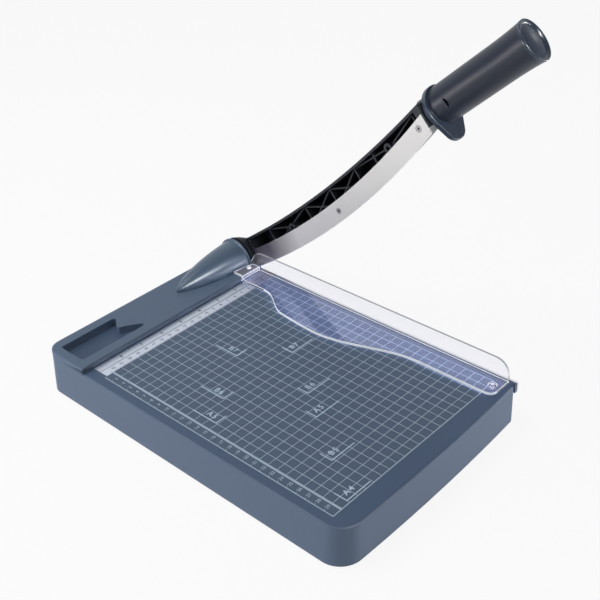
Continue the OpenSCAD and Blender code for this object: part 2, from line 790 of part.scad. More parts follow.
// Region between two arcs of the arm, from one distance along it to another
module arm_band(low, low_r, low_at, high, high_r, high_at, from, to) {
    intersection() {
        difference() {
            translate([low_at, low + low_r]) circle(low_r, $fn = 256);
            translate([high_at, high + high_r]) circle(high_r, $fn = 256);
        }
        translate([from, -far / 2]) square([to - from, far * 0.75]);
    }
}

module beam_profile(inset, from, to) {
    arm_band(beam_bottom + inset, blade_r, belly_at, beam_top - inset, beam_top_r, belly_at, from, to);
}

// Rib between two points of the arm's side view
module lattice_rib(p, q) {
    d = q - p;
    translate(p) rotate(atan2(d[1], d[0])) translate([0, -lattice_t / 2]) square([norm(d), lattice_t]);
}

// Crossed ribs between upright ones, as on a bridge
module lattice() {
    for (l = concat(lattice_ends, [blade_l - lattice_single])) translate([l - lattice_t / 2, -60])
        square([lattice_t, 120]);
    for (i = [1:len(lattice_ends) - 1]) {
        l0 = lattice_ends[i - 1];
        l1 = lattice_ends[i];
        lattice_rib([l0, roof_h(l0)], [l1, edge_h(l1) + blade_show + lattice_low]);
        lattice_rib([l0, edge_h(l0) + blade_show + lattice_low], [l1, roof_h(l1)]);
    }
}

// Ribbed beam of the arm, open towards the board, with its hub and the tang of the handle
module arm_beam() {
    color([0.08, 0.08, 0.09]) on_arm() difference() {
        union() {
            difference() {
                across(beam_in_x, beam_out_x) beam_profile(0, 0, beam_l - 0.5);
                across(beam_in_x - 1, beam_out_x - beam_wall) beam_profile(beam_wall, hub_r - 2, beam_l - 8);
            }
            across(lattice_in, beam_out_x - 1) intersection() {
                beam_profile(1, hub_r - 3, beam_l - 4);
                lattice();
            }
            for (p = concat(screw_spots, plain_bosses)) cross_pin(p, boss_r, blade_out_x, beam_out_x - 1);
            turned_x([[blade_out_x, 0], [blade_out_x, hub_mid_r], [hub_out_x, cap_r], [hub_out_x, 0]]);
            // Shoulder, cut square to the arm where the hand guard sits, and the tang inside the grip
            difference() {
                turned_handle([
                    [-shoulder_l, 0], [-shoulder_l, shoulder_r], [shoulder_end, shoulder_r], [shoulder_end, 0]
                ]);
                translate([-far / 2, -flange_at - far, -far / 2]) cube(far);
            }
            turned_handle([
                [-6, 0], [-6, tang_r], [tang_l - 2, tang_r], [tang_l, tang_r - 2], [tang_l, 0]
            ]);
        }
        // Seat of the blade
        across(-1, blade_out_x) blade_profile(slip);
        // Room for the cap beside the hub
        cross_pin([0, 0], cap_r + snug, hub_out_x, far);
        cross_pin([0, 0], bush_r + slip, -20, far);
        for (p = screw_spots) cross_pin(p, pilot_r, blade_out_x - 1, blade_out_x + blade_screw_l);
        for (p = plain_bosses) cross_pin(p, 2, 0, beam_out_x - beam_wall);
    }
}

// Curved strip of the blade with an eye round the pivot
module blade_profile(room = 0) {
    arm_band(
        -belly - room, blade_r, belly_at,
        -belly + blade_w + room, blade_r, belly_at,
        0, blade_l + room
    );
    circle(r = eye_r + room);
}

// Round plate that closes the hub towards the cowl
module hub_disc() {
    color([0.08, 0.08, 0.09]) on_arm() difference() {
        turned_x([
            [hub_in_x, 0], [hub_in_x, hub_r - 0.5], [hub_in_x + 0.5, hub_r], [hub_in_x + 2, hub_r],
            [blade_in_x, hub_mid_r + 1], [blade_in_x, 0]
        ]);
        cross_pin([0, 0], bush_r + slip, -20, 5);
    }
}

module pivot_bush() {
    color("gold") on_arm() difference() {
        cross_pin([0, 0], bush_r, hub_in_x, hub_out_x);
        cross_pin([0, 0], bolt_d / 2 + run_gap, hub_in_x - 1, hub_out_x + 1);
    }
}

// Domed cap over the bolt's head
module pivot_cap() {
    color("slategray") on_arm() difference() {
        turned_x(concat(
            [[hub_out_x, 0], [hub_out_x, cap_r], [hub_out_x + 3, cap_r - 1.5], [hub_out_x + 7, cap_r - 2.3]],
            arc([hub_out_x + cap_l - 5, cap_r - 7.6], 5, 90, 0, 6),
            [[hub_out_x + cap_l, 0]]
        ));
        cross_pin([0, 0], cap_hollow_r, hub_out_x - 1, hub_out_x + cap_hollow);
    }
}

// Steel blade with its cutting edge ground on the outer side
module blade() {
    bevel = 1.4;
    color("gainsboro") on_arm() difference() {
        across(blade_in_x, blade_out_x) blade_profile();
        translate([0, -belly_at, -belly + blade_r]) rotate([0, 90, 0]) difference() {
            translate([0, 0, blade_in_x + 0.3]) cylinder(r = blade_r + 5, h = blade_t, $fn = 256);
            translate([0, 0, blade_in_x + 0.3])
                cylinder(r1 = blade_r, r2 = blade_r - bevel, h = blade_t - 0.3 + eps, $fn = 256);
        }
        cross_pin([0, 0], bush_r + slip, -5, 5);
        for (p = screw_spots) translate([blade_in_x, -p[0], p[1]])
            rotate([0, -90, 0]) screw_hole(blade_t + 1);
    }
}

module blade_screws() {
    color("dimgray") on_arm() for (p = screw_spots) translate([blade_in_x, -p[0], p[1]])
        rotate([0, -90, 0]) screw(blade_screw_l);
}

// Plate that keeps the fingers off the blade, with a rounded tab below
module hand_guard() {
    color([0.25, 0.31, 0.38]) on_arm() difference() {
        translate([handle_out, -flange_at, handle_up]) rotate([90, 0, 0]) linear_extrude(flange_t)
            belt([flange_side, -flange_drop], flange_r, [tab_side, tab_r - tab_reach], tab_r);
        turned_handle([[-bore_l, 0], [-bore_l, tang_r + slip], [bore_l, tang_r + slip], [bore_l, 0]]);
    }
}

// Tube of the grip, cut square to the arm at the hand guard, with the catch's half-round window
module grip() {
    color([0.2, 0.22, 0.27]) on_arm() difference() {
        turned_handle([
            [-4, tang_r + slip], [-4, grip_d / 2], [grip_l, grip_end_d / 2], [grip_l, tang_r + slip]
        ]);
        translate([-far / 2, -flange_at - flange_t, -far / 2]) cube(far);
        at_handle() translate([-grip_d, -window_at + window_r - window_h / 2, -window_drop])
            rotate([0, 90, 0]) linear_extrude(grip_d / 2 + grip_t * 2) difference() {
                circle(window_r);
                translate([-window_r, window_h - window_r]) square(window_r * 2);
            }
    }
}

// Plug in the grip's end: a rim round a shallow dish with a low dome
module end_cap() {
    plug_l = 12;
    dish_r = cap_rim_r - 3.2;
    rim_end = grip_l + cap_rim_t;
    dish_end = rim_end - 2.4;
    color([0.25, 0.31, 0.38]) on_arm() turned_handle(concat(
        [[grip_l - plug_l, 0], [grip_l - plug_l, tang_r - slip], [grip_l, tang_r - slip],
         [grip_l, cap_rim_r - 0.6], [grip_l + 0.6, cap_rim_r], [rim_end - 1, cap_rim_r],
         [rim_end, cap_rim_r - 1], [rim_end, dish_r + 0.4], [dish_end, dish_r - 1]],
        [for (i = [0:6]) let (a = 90 * i / 6) [dish_end + 2.2 * sin(a), (dish_r - 2) * cos(a)]]
    ));
}

base_housing();
bottom_cover();
rubber_feet();
cover_screws();
ruler_strip();
fixed_blade();
fixed_blade_screws();
guard();
guard_screws();
pivot_cowl();
cowl_screws();
pivot_block();
block_screws();
pivot_bolt();
pivot_nut();
thrust_washer();
spring_washer();
arm_beam();
hub_disc();
pivot_bush();
pivot_cap();
blade();
blade_screws();
hand_guard();
grip();
end_cap();
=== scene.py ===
"""Paper cutter: finishes, printed board, scales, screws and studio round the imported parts."""
import json
import math
from contextlib import contextmanager

import bmesh
import bpy
from bpy.props import FloatProperty, FloatVectorProperty, PointerProperty
from mathutils import Matrix, Vector


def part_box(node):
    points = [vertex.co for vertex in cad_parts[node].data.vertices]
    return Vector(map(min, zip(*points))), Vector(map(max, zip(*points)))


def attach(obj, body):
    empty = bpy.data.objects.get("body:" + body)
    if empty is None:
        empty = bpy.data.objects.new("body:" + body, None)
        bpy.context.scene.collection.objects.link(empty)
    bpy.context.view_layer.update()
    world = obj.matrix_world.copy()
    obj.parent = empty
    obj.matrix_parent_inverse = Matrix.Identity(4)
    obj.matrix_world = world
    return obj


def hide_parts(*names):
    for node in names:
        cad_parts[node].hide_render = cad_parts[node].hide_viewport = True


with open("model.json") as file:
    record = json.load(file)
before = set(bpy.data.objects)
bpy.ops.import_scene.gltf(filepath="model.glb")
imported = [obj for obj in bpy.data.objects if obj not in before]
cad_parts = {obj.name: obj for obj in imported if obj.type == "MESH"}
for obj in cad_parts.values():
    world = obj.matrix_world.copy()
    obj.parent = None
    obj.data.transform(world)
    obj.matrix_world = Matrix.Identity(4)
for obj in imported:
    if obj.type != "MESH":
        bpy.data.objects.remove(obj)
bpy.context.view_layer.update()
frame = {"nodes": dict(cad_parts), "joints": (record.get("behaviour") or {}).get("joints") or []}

bl_info = {
    "name": "Paper cutter",
    "version": (1, 0, 0),
    "blender": (4, 5, 0),
    "location": "View3D > Sidebar > Paper cutter",
    "description": "Dresses the parts of a guillotine paper cutter and sets up its studio",
    "category": "Object",
}

# Lengths are in metres, in the frame of the parts.
MM = 0.001
INCH = 25.4 * MM
WELD = 1e-6
NODES = frame["nodes"]
HINGE = Vector(frame["joints"][0]["pos_m"])

# The cutting edge, the face of the board and the paper stop give the places of the print.
STOP_GAP, PRINT_INSET, TRAY_DEPTH = 1 * MM, 4 * MM, 1.6 * MM
CUT_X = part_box("fixed_blade")[1].x
BOARD_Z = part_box("fixed_blade")[1].z
RULER_LOW, RULER_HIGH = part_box("ruler_strip")
STOP_Y = RULER_HIGH.y + STOP_GAP
PRINT_X = CUT_X - PRINT_INSET
TRAY_Z = BOARD_Z - TRAY_DEPTH

# The printed field, in millimetres: across from the right datum, and down from the paper stop.
GRID_NEAR, GRID_FAR, SCALE_FAR = 10, 220, 230
GRID_TOP, GRID_END, GRID_STEP = 20, 300, 10

# The arm's lift at rest, and the face of its beam that looks away from the board.
ARM_LIFT = math.radians(40.8)
BEAM_DEPTH = 27.5 * MM
BEAM_FACE = HINGE.x + BEAM_DEPTH

# Start of the handle's axis on the level arm, from the hinge, and the axis's turn.
HANDLE_START = Vector((25.0, -322.0, 12.4)) * MM
HANDLE_SPLAY = math.radians(11.0)
HANDLE_RISE = math.radians(1.3)
GRIP_L = 101 * MM

# Paper sizes that the board marks, in millimetres: name, across, down, and whether it lies on its side.
PAPER_MARKS = [
    ("A4", 210, 297, False), ("B5", 182, 257, False), ("A5", 148, 210, False),
    ("B6", 128, 182, False), ("B7", 91, 128, False),
    ("A5", 210, 148, True), ("B6", 182, 128, True), ("B7", 128, 91, True),
]

# Lamps of the studio: place, aim, width and height, colour, and whether matt faces take its light.
AIM = (0.0, 0.0, 0.08)
COOL, WARM = (0.94, 0.97, 1.0), (1.0, 0.945, 0.985)
LAMPS = {
    "top": ((-0.4, 0.5, 1.5), AIM, (0.9, 0.7), COOL, True),
    "left": ((-1.1, 0.55, 0.3), AIM, (0.9, 0.1), WARM, True),
    "wall": ((0.85, -0.85, 0.02), (0.05, -0.15, 0.02), (1.1, 0.036), WARM, True),
    "front": ((-0.15, -1.3, 1.15), AIM, (1.2, 0.25), COOL, False),
    "right": ((1.9, -0.3, 0.75), AIM, (0.2, 0.2), COOL, True),
}


def linear(colour):
    """Turns a display colour into the linear one that shaders take."""
    return (*[c / 12.92 if c <= 0.04045 else ((c + 0.055) / 1.055) ** 2.4 for c in colour], 1.0)


def toned(colour, gains):
    """A linear colour with each channel times its gain."""
    return (*[min(c * gain, 1.0) for c, gain in zip(colour, gains)], 1.0)


def colour_prop(name, description, default):
    return FloatVectorProperty(name=name, description=description, default=default, size=3,
                               subtype="COLOR_GAMMA", min=0.0, max=1.0)


def length_prop(name, description, default):
    return FloatProperty(name=name, description=description, default=default, min=0.0,
                         subtype="DISTANCE", unit="LENGTH", precision=5)


def power_prop(name, description, default):
    return FloatProperty(name=name, description=description, default=default, min=0.0, unit="POWER")


class CutterColours(bpy.types.PropertyGroup):
    """Colours of the cutter's finishes."""
    slate: colour_prop("Slate", "Moulded base", (0.366, 0.438, 0.53))
    cowl: colour_prop("Cowl", "Cover over the pivot", (0.325, 0.405, 0.49))
    cover: colour_prop("Cover", "Plate under the base", (0.24, 0.26, 0.30))
    board: colour_prop("Board", "Face of the board under the print", (0.302, 0.376, 0.485))
    print_ink: colour_prop("Print", "Grid, scale and paper marks", (0.725, 0.80, 0.86))
    black: colour_prop("Beam black", "Ribbed beam and hub", (0.13, 0.152, 0.19))
    grip: colour_prop("Grip", "Tube of the handle", (0.155, 0.183, 0.242))
    trim: colour_prop("Trim", "Hand guard and end cap", (0.228, 0.282, 0.355))
    clear: colour_prop("Clear", "Tint of the guard's shield", (0.985, 0.985, 1.0))
    haze: colour_prop("Haze", "Tint of the guard's plate", (0.89, 0.887, 0.935))
    # Painted highlight: the clear guard's edges are painted white, as lit clear edges look.
    edge: colour_prop("Clear edge", "Edges of the clear guard", (0.985, 0.99, 1.0))
    steel: colour_prop("Steel", "Ground steel of the blade", (0.962, 0.956, 0.945))
    # Colour of the painted shade on the blade near the pivot.
    film: colour_prop("Film", "Oil on the blade near the pivot", (0.41, 0.40, 0.445))
    fixed: colour_prop("Fixed blade", "Steel of the lower blade", (0.92, 0.92, 0.93))
    ruler: colour_prop("Ruler", "Brushed ruler strip", (0.83, 0.86, 0.915))
    ruler_ink: colour_prop("Ruler ink", "Marks on the ruler", (0.19, 0.20, 0.25))
    zinc: colour_prop("Zinc", "Plated screws and washers", (0.74, 0.74, 0.755))
    bright: colour_prop("Bright zinc", "Screws of the clear guard", (0.86, 0.87, 0.9))
    brass: colour_prop("Brass", "Bush and thrust washer", (0.80, 0.64, 0.36))
    cast: colour_prop("Cast metal", "Block that carries the bolt", (0.62, 0.625, 0.64))
    rubber: colour_prop("Rubber", "Feet", (0.06, 0.06, 0.065))


class CutterPrint(bpy.types.PropertyGroup):
    """Sizes of the print on the board and on the ruler, and of the guard's plate."""
    pitch: length_prop("Grid pitch", "Side of one printed square", 10 * MM)
    line: length_prop("Grid line", "Width of the fine lines", 0.55 * MM)
    border: length_prop("Border line", "Width of the lines round the grid", 0.9 * MM)
    band: length_prop("Scale band", "Width of the line beside the scale", 2.2 * MM)
    mark: length_prop("Paper mark", "Width of the paper marks", 1.0 * MM)
    long_leg: length_prop("Long leg", "Longer leg of a paper mark", 29 * MM)
    short_leg: length_prop("Short leg", "Shorter leg of a paper mark", 13 * MM)
    letter: length_prop("Letter height", "Height of the paper marks' letters", 5.7 * MM)
    numeral: length_prop("Numeral height", "Height of the scale's numerals", 3.2 * MM)
    ink: length_prop("Ink thickness", "Height of the print above its face", 0.04 * MM)
    plate: length_prop("Guard thickness", "Thickness of the clear guard's plate", 2.5 * MM)


class CutterStage(bpy.types.PropertyGroup):
    """Floor, light and camera."""
    floor: colour_prop("Floor", "Colour of the floor", (0.985, 0.985, 0.985))
    floor_size: length_prop("Floor size", "Side of the floor", 12.0)
    floor_glow: FloatProperty(name="Floor glow", default=0.9, min=0.0, max=1.0, subtype="FACTOR",
                              description="Share of plain white in the floor as it is seen")
    world_strength: FloatProperty(name="Ambient", description="Strength of the light from all round",
                                  default=0.23, min=0.0)
    top_power: power_prop("Top power", "Power of the soft lamp overhead", 9.3)
    left_power: power_prop("Left power", "Power of the long lamp on the left", 5.0)
    wall_power: power_prop("Wall power", "Power of the low strip lamp before the front wall", 7.8)
    front_power: power_prop("Front power", "Power of the wide lamp that only gloss shows", 50.0)
    right_power: power_prop("Right power", "Power of the small lamp on the right", 0.4)
    camera_place: FloatVectorProperty(name="Camera place", description="Place of the camera", size=3,
                                      default=(-0.57307, -0.56116, 0.61415), subtype="TRANSLATION",
                                      unit="LENGTH")
    camera_turn: FloatVectorProperty(name="Camera turn", description="Turn of the camera", size=3,
                                     default=(math.radians(57.3287), math.radians(2.4006),
                                              math.radians(-47.5415)), subtype="EULER")
    camera_lens: FloatProperty(name="Lens", description="Focal length on a 36 mm film", default=62.255,
                               min=1.0, unit="CAMERA")


# Nodes and shader maths


def plug(tree, entry, value):
    """Links a field or a socket into an entry, or sets the entry's own value."""
    if isinstance(value, Field):
        value = value.socket
    if isinstance(value, bpy.types.NodeSocket):
        tree.links.new(value, entry)
    elif value is not None:
        entry.default_value = value


def given(thing, **settings):
    """A thing with its settings."""
    for key, value in settings.items():
        setattr(thing, key, value)
    return thing


def add_node(tree, kind, settings=None, sockets=None):
    """Adds a node: its type, its settings, and the values or links of its sockets."""
    node = given(tree.nodes.new(kind), **(settings or {}))
    for key, value in (sockets or {}).items():
        for part in value if isinstance(value, list) else [value]:
            plug(tree, node.inputs[key], part)
    return node


def maths(operation, swapped=False):
    """A method of a field that adds a Math node for it and another value."""
    def method(self, other):
        return self.math(operation, other, self) if swapped else self.math(operation, self, other)
    return method


class Field:
    """A value that varies over a surface. Its operators add Math nodes."""
    __add__, __radd__ = maths("ADD"), maths("ADD", True)
    __sub__, __rsub__ = maths("SUBTRACT"), maths("SUBTRACT", True)
    __mul__, __rmul__ = maths("MULTIPLY"), maths("MULTIPLY", True)
    above, below = maths("GREATER_THAN"), maths("LESS_THAN")

    def __init__(self, tree, socket):
        self.tree = tree
        self.socket = socket

    def math(self, operation, *values):
        node = add_node(self.tree, "ShaderNodeMath", {"operation": operation}, dict(enumerate(values)))
        return Field(self.tree, node.outputs[0])

    def between(self, low, high):
        return self.above(low) * self.below(high)

    def clamped(self):
        return self.math("MINIMUM", self.math("MAXIMUM", self, 0.0), 1.0)


class Finish:
    """One procedural material, built round a Principled shader."""

    def __init__(self, name, colour, roughness, metallic=0.0, **fixed):
        self.material = bpy.data.materials.new(name)
        self.material.use_nodes = True
        self.tree = self.material.node_tree
        self.shader = self.tree.nodes["Principled BSDF"]
        self.colour = linear(colour)
        self.set("Base Color", self.colour)
        self.set("Roughness", roughness)
        self.set("Metallic", metallic)
        for socket, value in fixed.items():
            self.set(socket.replace("_", " "), value)
        self.place = self.node("ShaderNodeTexCoord", out="Object")

    def set(self, socket, value):
        plug(self.tree, self.shader.inputs[socket], value)

    def node(self, kind, settings=None, sockets=None, out=0):
        """One output of a new node."""
        return Field(self.tree, add_node(self.tree, kind, settings, sockets).outputs[out])

    def stretched(self, scale, turn=(0.0, 0.0, 0.0)):
        """The place on the piece, turned and then scaled."""
        place = self.node("ShaderNodeMapping", None, {"Vector": self.place, "Rotation": turn})
        return self.node("ShaderNodeMapping", None, {"Vector": place, "Scale": scale})

    def noise(self, scale, detail=2.0, at=None, roughness=0.5):
        return self.node("ShaderNodeTexNoise", None,
                         {"Vector": at or self.place, "Scale": scale, "Detail": detail,
                          "Roughness": roughness}, "Fac")

    def blend(self, factor, first, second):
        """A mix of two colours."""
        return self.node("ShaderNodeMix", {"data_type": "RGBA", "clamp_factor": True},
                         {0: factor, 6: first, 7: second}, 2)

    def paint(self, factor, first, second):
        """Feeds a mix of two colours to the shader."""
        self.set("Base Color", self.blend(factor, first, second))

    def shade(self, amount):
        """The finish's own colour, darker or lighter."""
        return toned(self.colour, [amount] * 3)

    def tone(self):
        """The colour that reaches the shader so far."""
        return Field(self.tree, self.shader.inputs["Base Color"].links[0].from_socket)

    def axes(self, vector):
        node = add_node(self.tree, "ShaderNodeSeparateXYZ", None, {0: vector})
        return [Field(self.tree, entry) for entry in node.outputs]

    def soft_edges(self, radius):
        """The surface's normal with its edges rounded over."""
        return self.node("ShaderNodeBevel", {"samples": 6}, {"Radius": radius})

    def edge_mask(self, rounded):
        """One along the edges, where the rounded normal leaves the true one."""
        true = self.node("ShaderNodeNewGeometry", out="Normal")
        dot = self.node("ShaderNodeVectorMath", {"operation": "DOT_PRODUCT"}, {0: rounded, 1: true}, "Value")
        return ((1.0 - dot) * 6.0).clamped()

    def corners(self, reach):
        """An occlusion mask, up to one deep in the inner corners, with which finishes paint shade."""
        return 1.0 - self.node("ShaderNodeAmbientOcclusion", {"samples": 6}, {"Distance": reach}, "AO")

    def bump(self, height, strength, distance, normal=None):
        self.set("Normal", self.node("ShaderNodeBump", None, {
            "Height": height, "Strength": strength, "Distance": distance, "Normal": normal}))

    def mix_in(self, factor, other):
        """Mixes another shader into the finish."""
        body = Field(self.tree, self.shader.outputs[0])
        mixed = self.node("ShaderNodeMixShader", None, {0: factor, 1: body, 2: other})
        self.tree.links.new(mixed.socket, self.tree.nodes["Material Output"].inputs["Surface"])

    def lets_lamps_through(self):
        """Lets lamp light reach what lies behind a clear piece."""
        shadow = self.node("ShaderNodeLightPath", out="Is Shadow Ray")
        self.mix_in(shadow, self.node("ShaderNodeBsdfTransparent", None, {"Color": self.colour}))


# Finishes

# Scales of the scratches in metal: ground lengthwise, ground crosswise, and tumbled.
LENGTHWISE = (1800.0, 14.0, 1800.0)
CROSSWISE = (14.0, 1800.0, 1800.0)
TUMBLED = (500.0, 500.0, 500.0)


def moulded(name, colour, roughness=0.52, grain=1900.0, relief=0.16, wear_and_highlight=1.35, gloss=0.35):
    """Satin moulding: fine texture, faint clouds, painted shade in the corners, and rubbed edges painted
    lighter, partly as wear and partly as painted highlight.
    """
    edge_r, corner_reach, grain_h = 0.55 * MM, 1.8 * MM, 0.06 * MM
    finish = Finish(name, colour, roughness, Specular_IOR_Level=gloss)
    fine = finish.noise(grain, detail=3.0)
    cloud = finish.noise(22.0, detail=4.0)
    rub_and_sheen = finish.noise(160.0, detail=5.0, roughness=0.7)
    rounded = finish.soft_edges(edge_r)
    # Edges are painted lighter in patches: partly wear, partly a painted highlight on the rounded edge.
    edge = finish.edge_mask(rounded) * (rub_and_sheen * 1.6 - 0.35).clamped()
    tone = finish.blend(cloud, finish.shade(0.93), finish.shade(1.07))
    tone = finish.blend((fine - 0.5) * 0.5 + 0.25, tone, finish.shade(1.06))
    # Painted shade: the inner corners are darkened by occlusion.
    corner_shade = (finish.corners(corner_reach) * 1.3 - 0.25).clamped() * 0.6
    tone = finish.blend(corner_shade, tone, finish.shade(0.45))
    finish.paint(edge * 0.55, tone, finish.shade(wear_and_highlight))
    varied = (cloud - 0.5) * (roughness * 0.27) + (fine - 0.5) * 0.1
    finish.set("Roughness", roughness + varied - edge * (roughness * 0.2))
    finish.bump(fine, relief, grain_h, rounded)
    return finish


def brushed(name, colour, roughness, turn=(0.0, 0.0, 0.0), grain=LENGTHWISE, relief=0.08, metal=1.0):
    """Metal ground in one direction, with faint stains."""
    edge_r, scratch_h = 0.15 * MM, 0.02 * MM
    finish = Finish(name, colour, roughness, metal)
    scratch = finish.noise(1.0, detail=4.0, at=finish.stretched(grain, turn), roughness=0.65)
    stain = finish.noise(38.0, detail=4.0)
    finish.paint(scratch * 0.5 + stain * 0.3, finish.shade(0.9), finish.shade(1.03))
    finish.set("Roughness", roughness + (scratch - 0.5) * 0.16 + (stain - 0.5) * 0.08)
    finish.bump(scratch, relief, scratch_h, finish.soft_edges(edge_r))
    return finish


def screw_metal(colours):
    """Zinc plate with painted shade in the recesses."""
    recess_reach = 1.6 * MM
    finish = brushed("zinc_plate", colours.zinc, 0.36, grain=TUMBLED)
    # Painted shade: the recesses are darkened by occlusion.
    dark = (finish.corners(recess_reach) * 2.2 - 0.3).clamped()
    finish.paint(dark, finish.tone(), finish.shade(0.06))
    return finish


def ruler_metal(colours):
    """Brushed ruler whose back band is a shade deeper, with painted shade in the groove between the bands."""
    groove = 0.6 * MM
    finish = brushed("ruler_aluminium", colours.ruler, 0.36, grain=CROSSWISE)
    across = finish.axes(finish.place)[1] - (RULER_LOW.y + RULER_HIGH.y) / 2
    tone = finish.blend(across.above(groove), finish.tone(), finish.shade(0.96))
    # Painted shade in the groove between the bands.
    finish.paint(across.between(-groove, groove), tone, finish.shade(0.5))
    return finish


def blade_steel(colours):
    """Steel ground along the arm, with painted shade that darkens it near the pivot and thins out away from
    it.
    """
    shade_reach, fade_l = 46 * MM, 50 * MM
    finish = brushed("blade_steel", colours.steel, 0.38, (ARM_LIFT, 0.0, 0.0), relief=0.03, metal=0.4)
    y, z = finish.axes(finish.place)[1:]
    span = (y - HINGE.y) * (y - HINGE.y) + (z - HINGE.z) * (z - HINGE.z)
    # Painted shade: the blade is darkened within reach of the pivot and fades to plain steel further out.
    unshaded = ((span.math("SQRT", span) - shade_reach) * (1.0 / fade_l)).clamped()
    finish.paint(unshaded, linear(colours.film), finish.tone())
    return finish


def slate_moulding(colours):
    """Slate of the base. The board's face is deeper and its printed field paler, the tray's floor carries
    painted shade, and a band of painted shade runs along the paper stop."""
    under, over, band = 0.6 * MM, 0.4 * MM, 0.9 * MM
    finish = moulded("slate_moulding", colours.slate, 0.46, wear_and_highlight=1.5, gloss=0.3)
    x, y, z = finish.axes(finish.place)
    level = finish.axes(finish.node("ShaderNodeNewGeometry", out="Normal"))[2].above(0.9)
    cloud = finish.noise(9.0, detail=3.0)
    deep = linear(colours.board)
    board = finish.blend(cloud, deep, toned(deep, [1.12] * 3))
    field = x.above(PRINT_X - SCALE_FAR * MM) * y.above(STOP_Y - GRID_END * MM)
    board = finish.blend(field, board, toned(deep, (1.27, 1.2, 1.06)))
    tone = finish.blend(level * z.between(BOARD_Z - under, BOARD_Z + over), finish.tone(), board)
    # Painted shade on the tray's floor, darker than the board's face.
    floor = finish.blend(cloud, toned(deep, [0.8] * 3), deep)
    tone = finish.blend(level * z.between(TRAY_Z - over, TRAY_Z + over), tone, floor)
    # Painted shade on the paper stop's face and its rounded top edge.
    stop = y.between(STOP_Y - band, STOP_Y + band) * z.above(BOARD_Z + 0.3 * MM)
    finish.paint(stop * 0.55, tone, finish.shade(0.25))
    return finish


def printed(name, colour, roughness=0.45):
    """Screen-printed ink with small thin places."""
    finish = Finish(name, colour, roughness)
    thin = finish.noise(900.0, detail=3.0)
    patch = finish.noise(70.0, detail=2.0)
    finish.paint((thin + patch - 0.85) * 1.4, finish.shade(1.0), finish.shade(0.78))
    finish.set("Roughness", roughness + (thin - 0.5) * 0.2)
    finish.bump(thin, 0.1, 0.02 * MM)
    return finish


def clear_plastic(name, colour, clarity, index):
    """Clear moulded plastic with faint hairlines and smears."""
    finish = Finish(name, colour, 0.02, Transmission_Weight=clarity, IOR=index)
    hair_at = finish.stretched((900.0, 30.0, 900.0), (0.0, 0.0, 0.5))
    hair = finish.noise(1.0, detail=5.0, at=hair_at, roughness=0.7)
    smear = finish.noise(26.0, detail=3.0)
    finish.set("Roughness", 0.01 + (hair - 0.55).clamped() * 0.1 + (smear - 0.5).clamped() * 0.03)
    finish.paint(smear, finish.shade(0.985), finish.shade(1.0))
    finish.bump(smear, 0.01, 0.1 * MM)
    finish.lets_lamps_through()
    return finish


def clear_edge(colours):
    """Edge of the clear plastic, painted white round the plate as highlight, with a faint painted glow for
    the light that gathers in it, and painted grey as shade on the shield's crest.
    """
    crest_z, crest_rise = BOARD_Z + 12 * MM, 150.0
    # A faint painted glow: the edge gives off light of its own, though it is no lamp.
    finish = Finish("clear_edge", colours.edge, 0.18, IOR=1.46, Emission_Color=(0.8, 0.9, 1.0, 1.0),
                    Emission_Strength=0.14)
    streak = finish.noise(120.0, detail=3.0)
    tone = finish.blend(streak, finish.shade(0.93), finish.shade(1.0))
    # Painted shade: above the crest's height the edge is painted grey.
    crest = ((finish.axes(finish.place)[2] - crest_z) * crest_rise).clamped()
    finish.paint(crest, tone, finish.shade(0.28))
    finish.set("Roughness", 0.12 + streak * 0.15)
    return finish


def rubber(colours):
    """Dull rubber with a gritty face."""
    finish = Finish("foot_rubber", colours.rubber, 0.85)
    grit = finish.noise(1300.0, detail=3.0)
    finish.paint(grit, finish.shade(0.8), finish.shade(1.5))
    finish.bump(grit, 0.3, 0.1 * MM)
    return finish


FINISHES = {}


def make_finishes(colours):
    made = {
        "slate": slate_moulding(colours),
        "cowl": moulded("slate_cowl", colours.cowl, 0.31, relief=0.08, wear_and_highlight=1.2, gloss=0.5),
        "cover": moulded("cover_moulding", colours.cover, 0.6),
        "black": moulded("beam_black", colours.black, 0.38, wear_and_highlight=1.7, gloss=0.5),
        "hub": moulded("hub_black", colours.black, 0.6, wear_and_highlight=1.4, gloss=0.2),
        "grip": moulded("grip_soft_touch", colours.grip, 0.35, 2400.0, 0.12, 1.3, 0.42),
        "trim": moulded("trim_moulding", colours.trim, 0.28, wear_and_highlight=1.4, gloss=0.5),
        "cap": moulded("cap_moulding", colours.trim, 0.25, relief=0.0, wear_and_highlight=1.1, gloss=0.45),
        "ink": printed("board_print", colours.print_ink),
        "mark_ink": printed("paper_marks", [min(c * 1.12, 1.0) for c in colours.print_ink]),
        "ruler_ink": printed("ruler_print", colours.ruler_ink),
        "clear": clear_plastic("clear_shield", colours.clear, 0.965, 1.3),
        "haze": clear_plastic("clear_plate", colours.haze, 0.975, 1.46),
        "tab": clear_plastic("clear_tab", colours.haze, 0.72, 1.46),
        "edge": clear_edge(colours),
        "steel": blade_steel(colours),
        "fixed": brushed("fixed_blade_steel", colours.fixed, 0.3, metal=0.85),
        "ruler": ruler_metal(colours),
        "zinc": screw_metal(colours),
        "bright": brushed("bright_zinc", colours.bright, 0.4, grain=TUMBLED, metal=0.6),
        "brass": brushed("bush_brass", colours.brass, 0.32, grain=(500.0, 40.0, 40.0)),
        "cast": brushed("cast_block", colours.cast, 0.5, grain=(240.0, 240.0, 240.0)),
        "rubber": rubber(colours),
    }
    FINISHES.update({key: finish.material for key, finish in made.items()})


